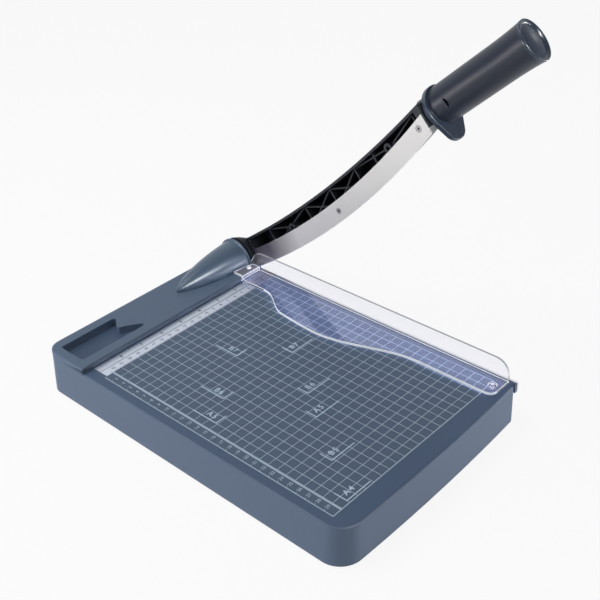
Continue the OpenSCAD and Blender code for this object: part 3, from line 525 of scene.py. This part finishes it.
FINISH_NODES = {
    "slate": ["base_housing"], "cover": ["bottom_cover"], "rubber": ["rubber_feet"],
    "ruler": ["ruler_strip"], "fixed": ["fixed_blade"], "haze": ["guard"], "bright": ["guard_screws"],
    "cowl": ["pivot_cowl", "pivot_cap"], "cast": ["pivot_block"], "brass": ["thrust_washer", "pivot_bush"],
    "black": ["arm_beam"], "hub": ["hub_disc"], "steel": ["blade"], "grip": ["grip"],
    "trim": ["hand_guard", "end_cap"],
    "zinc": ["cover_screws", "fixed_blade_screws", "cowl_screws", "block_screws", "pivot_bolt", "pivot_nut",
             "spring_washer", "blade_screws"],
}

# The finishes that the clear guard's faces take, in the order of its material slots.
GUARD_FINISHES = ["haze", "clear", "edge", "tab"]


# Meshes


def placed(name, data):
    """A new object in the scene."""
    thing = bpy.data.objects.new(name, data)
    bpy.context.scene.collection.objects.link(thing)
    return thing


@contextmanager
def reshaped(mesh):
    """Opens a mesh for changes and writes them back."""
    form = bmesh.new()
    form.from_mesh(mesh)
    yield form
    form.to_mesh(mesh)
    form.free()


def dress(mesh, *finishes):
    """Gives a mesh these finishes and no other."""
    mesh.materials.clear()
    for finish in finishes:
        mesh.materials.append(FINISHES[finish])


def add_piece(name, mesh, body, finish=None, replaces=()):
    """Puts a finished mesh in the scene, on its body."""
    piece = placed(name, mesh)
    if finish:
        dress(mesh, finish)
    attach(piece, body)
    if replaces:
        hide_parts(*replaces)
    return piece


def formed(name, form):
    """A new mesh from a finished form."""
    mesh = bpy.data.meshes.new(name)
    form.to_mesh(mesh)
    form.free()
    return mesh


def joined(name, meshes):
    """One mesh from several."""
    form = bmesh.new()
    for mesh in meshes:
        form.from_mesh(mesh)
        bpy.data.meshes.remove(mesh)
    return formed(name, form)


def plain_copy(node, name):
    """A merged copy of a part's mesh, without its own normals."""
    source = NODES[node].data
    mesh = bpy.data.meshes.new(name)
    mesh.from_pydata([v.co.copy() for v in source.vertices], [], [list(p.vertices) for p in source.polygons])
    with reshaped(mesh) as form:
        bmesh.ops.remove_doubles(form, verts=form.verts, dist=WELD)
    return mesh


def flat_copy(node, name):
    """A merged copy of a part's mesh, with the triangles of each flat face joined."""
    mesh = plain_copy(node, name)
    with reshaped(mesh) as form:
        bmesh.ops.dissolve_limit(form, angle_limit=math.radians(0.5), verts=form.verts, edges=form.edges)
    return mesh


def rounded_edges(piece, width, segments, material=-1):
    """Rounds the sharp edges of a piece over."""
    given(piece.modifiers.new("rounded", "BEVEL"), width=width, segments=segments, limit_method="ANGLE",
          angle_limit=math.radians(40.0), harden_normals=True, material=material)


def smooth(mesh, degrees):
    """Smooth shading, kept sharp at edges steeper than the angle."""
    mesh.shade_smooth()
    mesh.set_sharp_from_angle(angle=math.radians(degrees))


def eased_copy(node, name, width, picked, segments):
    """A flat copy of a part whose convex edges are rounded over where a test picks them."""
    sharp = 0.8
    mesh = flat_copy(node, name)
    with reshaped(mesh) as form:
        edges = [e for e in form.edges
                 if len(e.link_faces) == 2 and e.calc_face_angle_signed() > sharp and picked(e)]
        bmesh.ops.bevel(form, geom=edges, offset=width, segments=segments, profile=0.5, affect="EDGES",
                        clamp_overlap=True)
    smooth(mesh, 33.0)
    return mesh


def evened(piece):
    """Keeps the large faces of a piece flat in their shading."""
    given(piece.modifiers.new("even", "WEIGHTED_NORMAL"), keep_sharp=True, weight=100)


def turned(name, profile, frame_matrix, steps=96):
    """A closed piece turned about the handle's axis, from pairs of distance along it and radius."""
    angles = [math.tau * i / steps for i in range(steps)]
    form = bmesh.new()
    rings = []
    for along, radius in profile:
        around = angles if radius else angles[:1]
        rings.append([form.verts.new((radius * math.cos(a), -along, radius * math.sin(a))) for a in around])
    for first, second in zip(rings, rings[1:]):
        for i in range(steps):
            k = (i + 1) % steps
            corners = [first[i % len(first)], first[k % len(first)],
                       second[k % len(second)], second[i % len(second)]]
            form.faces.new(list(dict.fromkeys(corners)))
    bmesh.ops.recalc_face_normals(form, faces=form.faces)
    form.transform(frame_matrix)
    return formed(name, form)


def fillet(centre, radius, start, end, steps=6):
    """Points of a rounded corner, by its centre and the angles from the axis."""
    angles = [math.radians(start + (end - start) * i / steps) for i in range(steps + 1)]
    return [(centre[0] + radius * math.cos(a), centre[1] + radius * math.sin(a)) for a in angles]


def handle_frame():
    """The handle's own frame: its axis runs along -y from the hand guard."""
    lift = Matrix.Translation(HINGE) @ Matrix.Rotation(-ARM_LIFT, 4, "X")
    turn = Matrix.Rotation(HANDLE_SPLAY, 4, "Z") @ Matrix.Rotation(-HANDLE_RISE, 4, "X")
    return lift @ Matrix.Translation(HANDLE_START) @ turn


def islands(node):
    """The lowest and highest corners of each of a part's separate solids."""
    form = bmesh.new()
    form.from_mesh(NODES[node].data)
    bmesh.ops.remove_doubles(form, verts=form.verts, dist=WELD)
    left = set(form.verts)
    boxes = []
    while left:
        group, edge = set(), {left.pop()}
        while edge:
            vert = edge.pop()
            group.add(vert)
            edge |= {e.other_vert(vert) for e in vert.link_edges} - group
        left -= group
        low = Vector(min(v.co[i] for v in group) for i in range(3))
        high = Vector(max(v.co[i] for v in group) for i in range(3))
        boxes.append((low, high))
    form.free()
    return sorted(boxes, key=lambda box: tuple(round(c, 5) for c in box[0]))


def evaluated_mesh(carrier):
    """The plain mesh that an object comes to."""
    return bpy.data.meshes.new_from_object(carrier.evaluated_get(bpy.context.evaluated_depsgraph_get()))


def lettering(text, height, place, turn, ink, spacing=1.0):
    """A line of upright letters on a level face, centred at a place."""
    capital_share, stroke_gain = 0.7, 0.02
    curve = given(bpy.data.curves.new("lettering", "FONT"), body=text, size=height / capital_share,
                  align_x="CENTER", align_y="CENTER", extrude=ink, resolution_u=3,
                  offset=height * stroke_gain, space_character=spacing)
    carrier = placed("lettering", curve)
    mesh = evaluated_mesh(carrier)
    bpy.data.objects.remove(carrier)
    bpy.data.curves.remove(curve)
    with reshaped(mesh) as form:
        bmesh.ops.remove_doubles(form, verts=form.verts, dist=WELD / 10)
        bmesh.ops.recalc_face_normals(form, faces=form.faces)
        form.transform(Matrix.Translation(place) @ Matrix.Rotation(turn, 4, "Z"))
    return mesh


# Geometry Nodes


class Tree:
    """A Geometry Nodes group with named inputs, the last of them its material."""

    def __init__(self, name, **inputs):
        self.group = bpy.data.node_groups.new(name, "GeometryNodeTree")
        self.add_socket("Geometry", "Geometry")
        for kind, keys in inputs.items():
            for key in keys:
                self.add_socket(key, kind)
        self.add_socket("Material", "Material")
        self.add_socket("Geometry", "Geometry", "OUTPUT")
        self.source = self.group.nodes.new("NodeGroupInput")

    def add_socket(self, key, kind, side="INPUT"):
        self.group.interface.new_socket(key, in_out=side, socket_type="NodeSocket" + kind)

    def entry(self, key):
        return self.source.outputs[key]

    def node(self, kind, settings=None, sockets=None, out=0):
        """One output of a new node."""
        return add_node(self.group, kind, settings, sockets).outputs[out]

    def ends_in(self, instances):
        """Realizes the instances and gives them the material."""
        real = self.node("GeometryNodeRealizeInstances", None, {"Geometry": instances})
        done = self.node("GeometryNodeSetMaterial", None,
                         {"Geometry": real, "Material": self.entry("Material")})
        self.group.links.new(done, self.group.nodes.new("NodeGroupOutput").inputs[0])
        return self.group


def bar_row_tree():
    """A row of equal bars at a steady step."""
    tree = Tree("Row of bars", Int=["Count"], Vector=["Start", "Step", "Size"])
    row = tree.node("GeometryNodeMeshLine", {"mode": "OFFSET", "count_mode": "TOTAL"},
                    {"Count": tree.entry("Count"), "Start Location": tree.entry("Start"),
                     "Offset": tree.entry("Step")})
    block = tree.node("GeometryNodeMeshCube", None, {"Size": tree.entry("Size")})
    return tree.ends_in(tree.node("GeometryNodeInstanceOnPoints", None, {"Points": row, "Instance": block}))


def screw_tree(name, socket):
    """Countersunk screws at the points of a mesh, with their heads along an axis and a cross or a socket
    in them."""
    sunk = 0.85
    tree = Tree(name, Vector=["Axis"], Float=[
        "Head radius", "Head depth", "Recess width", "Recess length", "Recess depth", "Shank radius",
        "Shank length"])

    def times(value, factor):
        return tree.node("ShaderNodeMath", {"operation": "MULTIPLY"}, {0: value, 1: factor})

    def vector(x, y, z):
        return tree.node("ShaderNodeCombineXYZ", None, {0: x, 1: y, 2: z})

    def lowered(shape, z):
        return tree.node("GeometryNodeTransform", None,
                         {"Geometry": shape, "Translation": vector(0.0, 0.0, z)})

    depth = tree.entry("Head depth")
    shank_r, shank_l = tree.entry("Shank radius"), tree.entry("Shank length")
    cone = tree.node("GeometryNodeMeshCone", None, {
        "Vertices": 40, "Radius Top": tree.entry("Head radius"), "Radius Bottom": shank_r, "Depth": depth})
    head = lowered(cone, times(depth, -1.0))
    long_side, short_side = tree.entry("Recess length"), tree.entry("Recess width")
    deep = times(tree.entry("Recess depth"), 2.0)
    if socket:
        cutters = [tree.node("GeometryNodeMeshCylinder", None, {
            "Vertices": 6, "Radius": times(long_side, 0.5), "Depth": deep})]
    else:
        cutters = [tree.node("GeometryNodeMeshCube", None, {"Size": vector(wide, tall, deep)})
                   for wide, tall in ((long_side, short_side), (short_side, long_side))]
    for cutter in cutters:
        head = tree.node("GeometryNodeMeshBoolean", {"operation": "DIFFERENCE", "solver": "EXACT"},
                         {"Mesh 1": head, "Mesh 2": cutter})
    # The shank starts inside the head, so that their rings don't coincide.
    shank = tree.node("GeometryNodeMeshCylinder", None, {"Vertices": 20, "Radius": shank_r, "Depth": shank_l})
    shank = lowered(lowered(shank, times(shank_l, -0.5)), times(depth, -sunk))
    screw = tree.node("GeometryNodeJoinGeometry", None, {"Geometry": [head, shank]})
    turn = tree.node("FunctionNodeAlignRotationToVector", {"axis": "Z"}, {"Vector": tree.entry("Axis")})
    return tree.ends_in(tree.node("GeometryNodeInstanceOnPoints", None, {
        "Points": tree.entry("Geometry"), "Instance": screw, "Rotation": turn}))


def grown(tree, values, points=()):
    """The plain mesh that a tree gives for these values, on these points."""
    seed = bpy.data.meshes.new("seed")
    seed.from_pydata([tuple(p) for p in points], [], [])
    carrier = placed("carrier", seed)
    modifier = carrier.modifiers.new("nodes", "NODES")
    modifier.node_group = tree
    for item in tree.interface.items_tree:
        if item.in_out == "INPUT" and item.name in values:
            modifier[item.identifier] = values[item.name]
    carrier.update_tag()
    mesh = evaluated_mesh(carrier)
    carrier.modifiers.remove(modifier)
    bpy.data.objects.remove(carrier)
    bpy.data.meshes.remove(seed)
    return mesh


def bars(tree, finish, count, start, step, size):
    """A row of bars in a finish."""
    return grown(tree, {"Count": count, "Start": tuple(start), "Step": tuple(step), "Size": tuple(size),
                        "Material": FINISHES[finish]})


def bar(tree, finish, middle, size):
    """One bar in a finish."""
    return bars(tree, finish, 1, middle, (0, 0, 0), size)


def on_board(across, down):
    """A place on the print, from its distances in millimetres from the right datum and the paper stop."""
    return Vector((PRINT_X - across * MM, STOP_Y - down * MM, BOARD_Z))


# Operators


class CUTTER_OT_finishes(bpy.types.Operator):
    """Makes the finishes and gives each part its own"""
    bl_idname = "cutter.finishes"
    bl_label = "Finishes"

    def execute(self, context):
        make_finishes(context.scene.cutter_colours)
        for finish, nodes in FINISH_NODES.items():
            for node in nodes:
                dress(NODES[node].data, finish)
        return {"FINISHED"}


class CUTTER_OT_base(bpy.types.Operator):
    """Rounds the upper edges of the base moulding over"""
    bl_idname = "cutter.base"
    bl_label = "Base moulding"

    def execute(self, context):
        round_r, lowest = 0.9 * MM, BOARD_Z - 0.5 * MM
        mesh = eased_copy("base_housing", "base_moulding", round_r,
                          lambda edge: min(v.co.z for v in edge.verts) > lowest, 3)
        evened(add_piece("base_moulding", mesh, "base", "slate", ["base_housing"]))
        return {"FINISHED"}


class CUTTER_OT_beam(bpy.types.Operator):
    """Rounds the outer edges of the ribbed beam over"""
    bl_idname = "cutter.beam"
    bl_label = "Beam"

    def execute(self, context):
        round_r, slack = 1.4 * MM, 0.5 * MM
        mesh = eased_copy("arm_beam", "beam_moulding", round_r,
                          lambda edge: all(abs(v.co.x - BEAM_FACE) < slack for v in edge.verts), 4)
        evened(add_piece("beam_moulding", mesh, "arm", "black", ["arm_beam"]))
        return {"FINISHED"}


class CUTTER_OT_grip(bpy.types.Operator):
    """Flares the grip's end out to the cap"""
    bl_idname = "cutter.grip"
    bl_label = "Grip"

    def execute(self, context):
        flare_l, flare, bore = 30 * MM, 1.25 * MM, 16 * MM
        rings = 10
        mesh = plain_copy("grip", "grip_tube")
        with reshaped(mesh) as form:
            form.transform(handle_frame().inverted())
            for i in range(rings):
                along = GRIP_L - flare_l * (1.0 - i / rings)
                bmesh.ops.bisect_plane(form, geom=form.verts[:] + form.edges[:] + form.faces[:], dist=WELD,
                                       plane_co=(0.0, -along, 0.0), plane_no=(0.0, 1.0, 0.0))
            for vert in form.verts:
                share = 1.0 - (GRIP_L + vert.co.y) / flare_l
                radius = vert.co.xz.length
                if share > 0.0 and radius > bore:
                    grow = 1.0 + flare * share ** 2 / radius
                    vert.co.x *= grow
                    vert.co.z *= grow
            form.transform(handle_frame())
        smooth(mesh, 35.0)
        add_piece("grip_tube", mesh, "arm", "grip", ["grip"])
        return {"FINISHED"}


class CUTTER_OT_guard(bpy.types.Operator):
    """Gives the clear guard its finishes, and rounded edges painted white as highlight"""
    bl_idname = "cutter.guard"
    bl_label = "Clear guard"

    def execute(self, context):
        round_r, post_r = 0.75 * MM, 5 * MM
        shield_reach, tab_reach = 5 * MM, 2.5 * MM
        crest_h, crest_w = 20 * MM, 2 * MM
        mesh = flat_copy("guard", "clear_guard")
        dress(mesh, *GUARD_FINISHES)
        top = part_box("guard")[1]
        tab_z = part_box("guard_screws")[1].z - tab_reach
        side_h = context.scene.cutter_print.plate * 1.1
        posts = [((low + high) / 2).xy for low, high in islands("guard_screws")]
        for face in mesh.polygons:
            heights = [mesh.vertices[i].co.z for i in face.vertices]
            normal, middle = face.normal, face.center
            upright = abs(normal.z) < 0.3
            side = upright and max(heights) - min(heights) < side_h
            crest = abs(normal.x) < 0.5 and middle.z > top.z - crest_h and middle.x > top.x - crest_w
            inside = min((middle.xy - post).length for post in posts) < post_r
            finish = "haze"
            if (side or crest) and not inside:
                finish = "edge"
            elif upright and max(heights) > top.z - shield_reach:
                finish = "clear"
            elif abs(normal.z) > 0.9 and middle.z > tab_z:
                finish = "tab"
            face.material_index = GUARD_FINISHES.index(finish)
        smooth(mesh, 30.0)
        piece = add_piece("clear_guard", mesh, "base", None, ["guard"])
        rounded_edges(piece, round_r, 3, GUARD_FINISHES.index("edge"))
        return {"FINISHED"}


class CUTTER_OT_hand_guard(bpy.types.Operator):
    """Gives the hand guard its rounded edges"""
    bl_idname = "cutter.hand_guard"
    bl_label = "Hand guard"

    def execute(self, context):
        round_r = 1.5 * MM
        mesh = flat_copy("hand_guard", "hand_guard_moulding")
        smooth(mesh, 30.0)
        piece = add_piece("hand_guard_moulding", mesh, "arm", "trim", ["hand_guard"])
        rounded_edges(piece, round_r, 4)
        return {"FINISHED"}


class CUTTER_OT_end_cap(bpy.types.Operator):
    """Turns the plug in the grip's end, a rounded rim round a dome"""
    bl_idname = "cutter.end_cap"
    bl_label = "End cap"

    def execute(self, context):
        rim_r, rim_end = 19.5 * MM, GRIP_L + 3 * MM
        lip, soft = 0.9 * MM, 0.5 * MM
        slope_r, slope_end = 16.0 * MM, GRIP_L + 1.7 * MM
        dome_r, dome_h, dome_at = 15.3 * MM, 1.9 * MM, slope_end - soft
        plug_r, plug_at = 13.48 * MM, GRIP_L - 12 * MM
        profile = [(plug_at, 0.0), (plug_at, plug_r), (GRIP_L, plug_r)]
        profile += fillet((GRIP_L + soft, rim_r - soft), soft, 180, 90)
        profile += fillet((rim_end - lip, rim_r - lip), lip, 90, -20)
        profile += [(slope_end, slope_r), (dome_at, (slope_r + dome_r) / 2), (dome_at, dome_r)]
        steps = 14
        for i in range(1, steps + 1):
            share = 1.0 - i / steps
            profile.append((dome_at + dome_h * (1.0 - share ** 2), dome_r * share))
        mesh = turned("end_plug", profile, handle_frame())
        smooth(mesh, 40.0)
        add_piece("end_plug", mesh, "arm", "cap", ["end_cap"])
        return {"FINISHED"}


class CUTTER_OT_board_print(bpy.types.Operator):
    """Prints the grid, its borders and the scale on the board"""
    bl_idname = "cutter.board_print"
    bl_label = "Board print"

    def execute(self, context):
        sizes = context.scene.cutter_print
        row = bar_row_tree()
        ink, line, pitch = sizes.ink, sizes.line, sizes.pitch
        columns, first_row = 21, GRID_TOP + GRID_STEP
        numbers = range(first_row // GRID_STEP, GRID_END // GRID_STEP)
        tick_at, tick_l, number_at = 229, 2.4 * MM, 224.6
        tall, mid_down = (GRID_END - GRID_TOP) * MM, (GRID_TOP + GRID_END) / 2
        wide, mid_across = (GRID_FAR - GRID_NEAR) * MM, (GRID_NEAR + GRID_FAR) / 2
        foot, mid_foot = (SCALE_FAR - GRID_NEAR) * MM, (GRID_NEAR + SCALE_FAR) / 2
        left, down = (-pitch, 0, 0), (0, -pitch, 0)
        # Lines that cross differ a little in thickness, so that their faces don't coincide.
        thick = ink * 2
        meshes = [
            bars(row, "ink", columns, on_board(GRID_NEAR, mid_down), left, (line, tall, thick)),
            bars(row, "ink", len(numbers), on_board(mid_across, first_row), down, (wide, line, thick * 0.9)),
            bar(row, "ink", on_board(GRID_FAR, mid_down), (sizes.band, tall, thick * 1.1)),
            bar(row, "ink", on_board(SCALE_FAR, mid_down), (sizes.border, tall, thick)),
            bar(row, "ink", on_board(mid_foot, GRID_END), (foot, sizes.border, thick * 1.2)),
            bars(row, "ink", len(numbers), on_board(tick_at, first_row), down,
                 (tick_l, line * 0.8, thick * 0.8)),
        ]
        meshes += [lettering(str(n), sizes.numeral, on_board(number_at, GRID_STEP * n), 0.0, ink)
                   for n in numbers]
        add_piece("board_print", joined("board_print", meshes), "base", "ink")
        return {"FINISHED"}


class CUTTER_OT_paper_marks(bpy.types.Operator):
    """Prints the corner marks and names of the paper sizes"""
    bl_idname = "cutter.paper_marks"
    bl_label = "Paper marks"

    def execute(self, context):
        sizes = context.scene.cutter_print
        row = bar_row_tree()
        line, thick = sizes.mark, sizes.ink * 2.6
        meshes = []
        for name, across, down, lying in PAPER_MARKS:
            wide, tall, shift, turn = sizes.long_leg, sizes.short_leg, Vector((9.5, 6.2, 0)), 0.0
            if lying:
                wide, tall, shift, turn = tall, wide, Vector((5.6, 10.5, 0)), -math.pi / 2
            corner = on_board(across, down)
            meshes += [
                bar(row, "mark_ink", corner + Vector((wide / 2, 0, 0)), (wide, line, thick)),
                bar(row, "mark_ink", corner + Vector((0, tall / 2, 0)), (line, tall, thick * 0.9)),
                lettering(name, sizes.letter, corner + shift * MM, turn, sizes.ink, spacing=1.3),
            ]
        add_piece("paper_marks", joined("paper_marks", meshes), "base", "mark_ink")
        return {"FINISHED"}


class CUTTER_OT_ruler_print(bpy.types.Operator):
    """Prints a scale in centimetres and one in inches on the ruler"""
    bl_idname = "cutter.ruler_print"
    bl_label = "Ruler print"

    def execute(self, context):
        row = bar_row_tree()
        ink = context.scene.cutter_print.ink
        top = RULER_HIGH.z
        front, back = RULER_LOW.y, RULER_HIGH.y
        centimetre = 10 * MM
        meshes = []

        def ticks(first, step, count, length, width, edge, inward):
            start = Vector((CUT_X - first, edge + inward * length / 2, top))
            meshes.append(bars(row, "ruler_ink", count, start, (-step, 0, 0), (width, length, ink * 2)))

        def numbers(count, step, height, y):
            for n in range(1, count + 1):
                meshes.append(lettering(str(n), height, (CUT_X - n * step, y, top), 0.0, ink))

        ticks(centimetre, 1 * MM, 218, 1.5 * MM, 0.16 * MM, front, 1)
        ticks(centimetre, 5 * MM, 44, 2.2 * MM, 0.2 * MM, front, 1)
        ticks(centimetre, centimetre, 22, 3.0 * MM, 0.28 * MM, front, 1)
        ticks(INCH / 2, INCH / 8, 68, 1.6 * MM, 0.2 * MM, back, -1)
        ticks(INCH / 2, INCH / 2, 17, 2.6 * MM, 0.3 * MM, back, -1)
        numbers(22, centimetre, 2.9 * MM, front + 5.2 * MM)
        numbers(8, INCH, 3.6 * MM, back - 5.3 * MM)
        add_piece("ruler_print", joined("ruler_print", meshes), "base", "ruler_ink")
        return {"FINISHED"}


class CUTTER_OT_screws(bpy.types.Operator):
    """Sets the screws with the recesses in their heads"""
    bl_idname = "cutter.screws"
    bl_label = "Screws"

    def execute(self, context):
        crossed = screw_tree("Cross-recessed screws", False)
        socket = screw_tree("Socket screws", True)
        sizes = {"Head radius": 3 * MM, "Head depth": 1.8 * MM, "Recess width": 0.8 * MM,
                 "Recess length": 3.6 * MM, "Recess depth": 1.1 * MM, "Shank radius": 1.5 * MM,
                 "Material": FINISHES["zinc"]}
        blade_sizes = {"Head radius": 2.75 * MM, "Recess length": 2.7 * MM}

        def set_screws(name, node, body, tree, axis, length, sink=0.0, changed=None):
            """Screws where a part has them, with their heads at its boxes' ends along the axis."""
            axis = Vector(axis)
            points = []
            for low, high in islands(node):
                end = Vector(high[i] if axis[i] > 0 else low[i] for i in range(3))
                middle = (low + high) / 2
                points.append(middle + axis * (end - middle).dot(axis) - axis * sink)
            values = {**sizes, **(changed or {}), "Axis": tuple(axis), "Shank length": length}
            add_piece(name, grown(tree, values, points), body, "zinc", [node])

        set_screws("blade_socket_screws", "blade_screws", "arm", socket, (-1, 0, 0), 7 * MM, 0.12 * MM,
                   blade_sizes)
        set_screws("cover_cross_screws", "cover_screws", "base", crossed, (0, 0, -1), 10 * MM)
        set_screws("fixed_blade_cross_screws", "fixed_blade_screws", "base", crossed, (1, 0, 0), 5 * MM)
        return {"FINISHED"}


class CUTTER_OT_stage(bpy.types.Operator):
    """Sets the floor, the light and the camera"""
    bl_idname = "cutter.stage"
    bl_label = "Studio"

    def execute(self, context):
        stage = context.scene.cutter_stage
        self.add_floor(stage)
        self.add_world(stage)
        for name, lamp in LAMPS.items():
            self.add_lamp(name + "_lamp", getattr(stage, name + "_power"), *lamp)
        self.add_camera(stage)
        context.scene.view_settings.view_transform = "Standard"
        return {"FINISHED"}

    def add_floor(self, stage):
        half, level = stage.floor_size / 2, -0.2 * MM
        mesh = bpy.data.meshes.new("floor")
        mesh.from_pydata([(-half, -half, level), (half, -half, level), (half, half, level),
                          (-half, half, level)], [], [(0, 1, 2, 3)])
        finish = Finish("studio_floor", stage.floor, 0.9)
        glow = finish.node("ShaderNodeEmission", None, {"Color": (1.0, 1.0, 1.0, 1.0), "Strength": 1.0})
        finish.mix_in(self.seen(finish.tree)[0] * stage.floor_glow, glow)
        mesh.materials.append(finish.material)
        floor = placed("floor", mesh)

    def seen(self, tree):
        """One for the rays that show the background, by gloss and glass too, and one for the camera's own."""
        rays = add_node(tree, "ShaderNodeLightPath").outputs
        camera, gloss, glass = [Field(tree, rays[f"Is {kind} Ray"])
                                for kind in ("Camera", "Glossy", "Transmission")]
        return (camera + gloss + glass).clamped(), camera

    def add_world(self, stage):
        """White to the camera. Gloss sees white behind the object and a dimmer room elsewhere."""
        behind, rise, start, white, dim = (0.45, 0.80, 0.40), 2.5, 1.1, 0.6, 0.25
        world = bpy.data.worlds.new("studio")
        world.use_nodes = True
        tree = world.node_tree
        seen, camera = self.seen(tree)
        sky = add_node(tree, "ShaderNodeTexCoord").outputs["Generated"]
        toward = add_node(tree, "ShaderNodeVectorMath", {"operation": "DOT_PRODUCT"}, {0: sky, 1: behind})
        backdrop = (Field(tree, toward.outputs["Value"]) * rise - start).clamped() * white + dim
        shown = camera + (1.0 - camera) * backdrop
        back = tree.nodes["Background"]
        plug(tree, back.inputs["Color"], (1.0, 1.0, 1.0, 1.0))
        plug(tree, back.inputs["Strength"], seen * shown + (1.0 - seen) * stage.world_strength)
        bpy.context.scene.world = world

    def add_lamp(self, name, power, place, aim, size, colour, on_matt):
        """An area lamp of a width and a height, from a place towards another."""
        lamp = given(bpy.data.lights.new(name, "AREA"), shape="RECTANGLE", size=size[0], size_y=size[1],
                     color=colour, energy=power)
        turn = (Vector(aim) - Vector(place)).to_track_quat("-Z", "Y").to_euler()
        given(placed(name, lamp), location=place, rotation_euler=turn, visible_diffuse=on_matt)

    def add_camera(self, stage):
        camera = given(bpy.data.cameras.new("camera"), lens=stage.camera_lens, sensor_width=36.0,
                       clip_start=10 * MM)
        bpy.context.scene.camera = given(placed("camera", camera), location=stage.camera_place,
                                         rotation_euler=stage.camera_turn)


class CUTTER_PT_panel(bpy.types.Panel):
    """Lists the cutter's steps and settings"""
    bl_idname = "CUTTER_PT_panel"
    bl_label = "Paper cutter"
    bl_space_type = "VIEW_3D"
    bl_region_type = "UI"
    bl_category = "Paper cutter"

    def draw(self, context):
        layout = self.layout
        for step in STEPS:
            layout.operator(step.bl_idname)
        for key in GROUPS:
            box = layout.box()
            settings = getattr(context.scene, key)
            for setting in settings.__annotations__:
                box.prop(settings, setting)


GROUPS = {"cutter_colours": CutterColours, "cutter_print": CutterPrint, "cutter_stage": CutterStage}
STEPS = [CUTTER_OT_finishes, CUTTER_OT_base, CUTTER_OT_guard, CUTTER_OT_beam, CUTTER_OT_hand_guard,
         CUTTER_OT_grip, CUTTER_OT_end_cap, CUTTER_OT_board_print, CUTTER_OT_paper_marks,
         CUTTER_OT_ruler_print, CUTTER_OT_screws, CUTTER_OT_stage]
CLASSES = [*GROUPS.values(), *STEPS, CUTTER_PT_panel]


def register():
    for item in CLASSES:
        bpy.utils.register_class(item)
    for key, group in GROUPS.items():
        setattr(bpy.types.Scene, key, PointerProperty(type=group))


def unregister():
    for key in GROUPS:
        delattr(bpy.types.Scene, key)
    for item in reversed(CLASSES):
        bpy.utils.unregister_class(item)


def main():
    register()
    for step in STEPS:
        family, name = step.bl_idname.split(".")
        getattr(getattr(bpy.ops, family), name)()


if __name__ == "__main__":
    main()
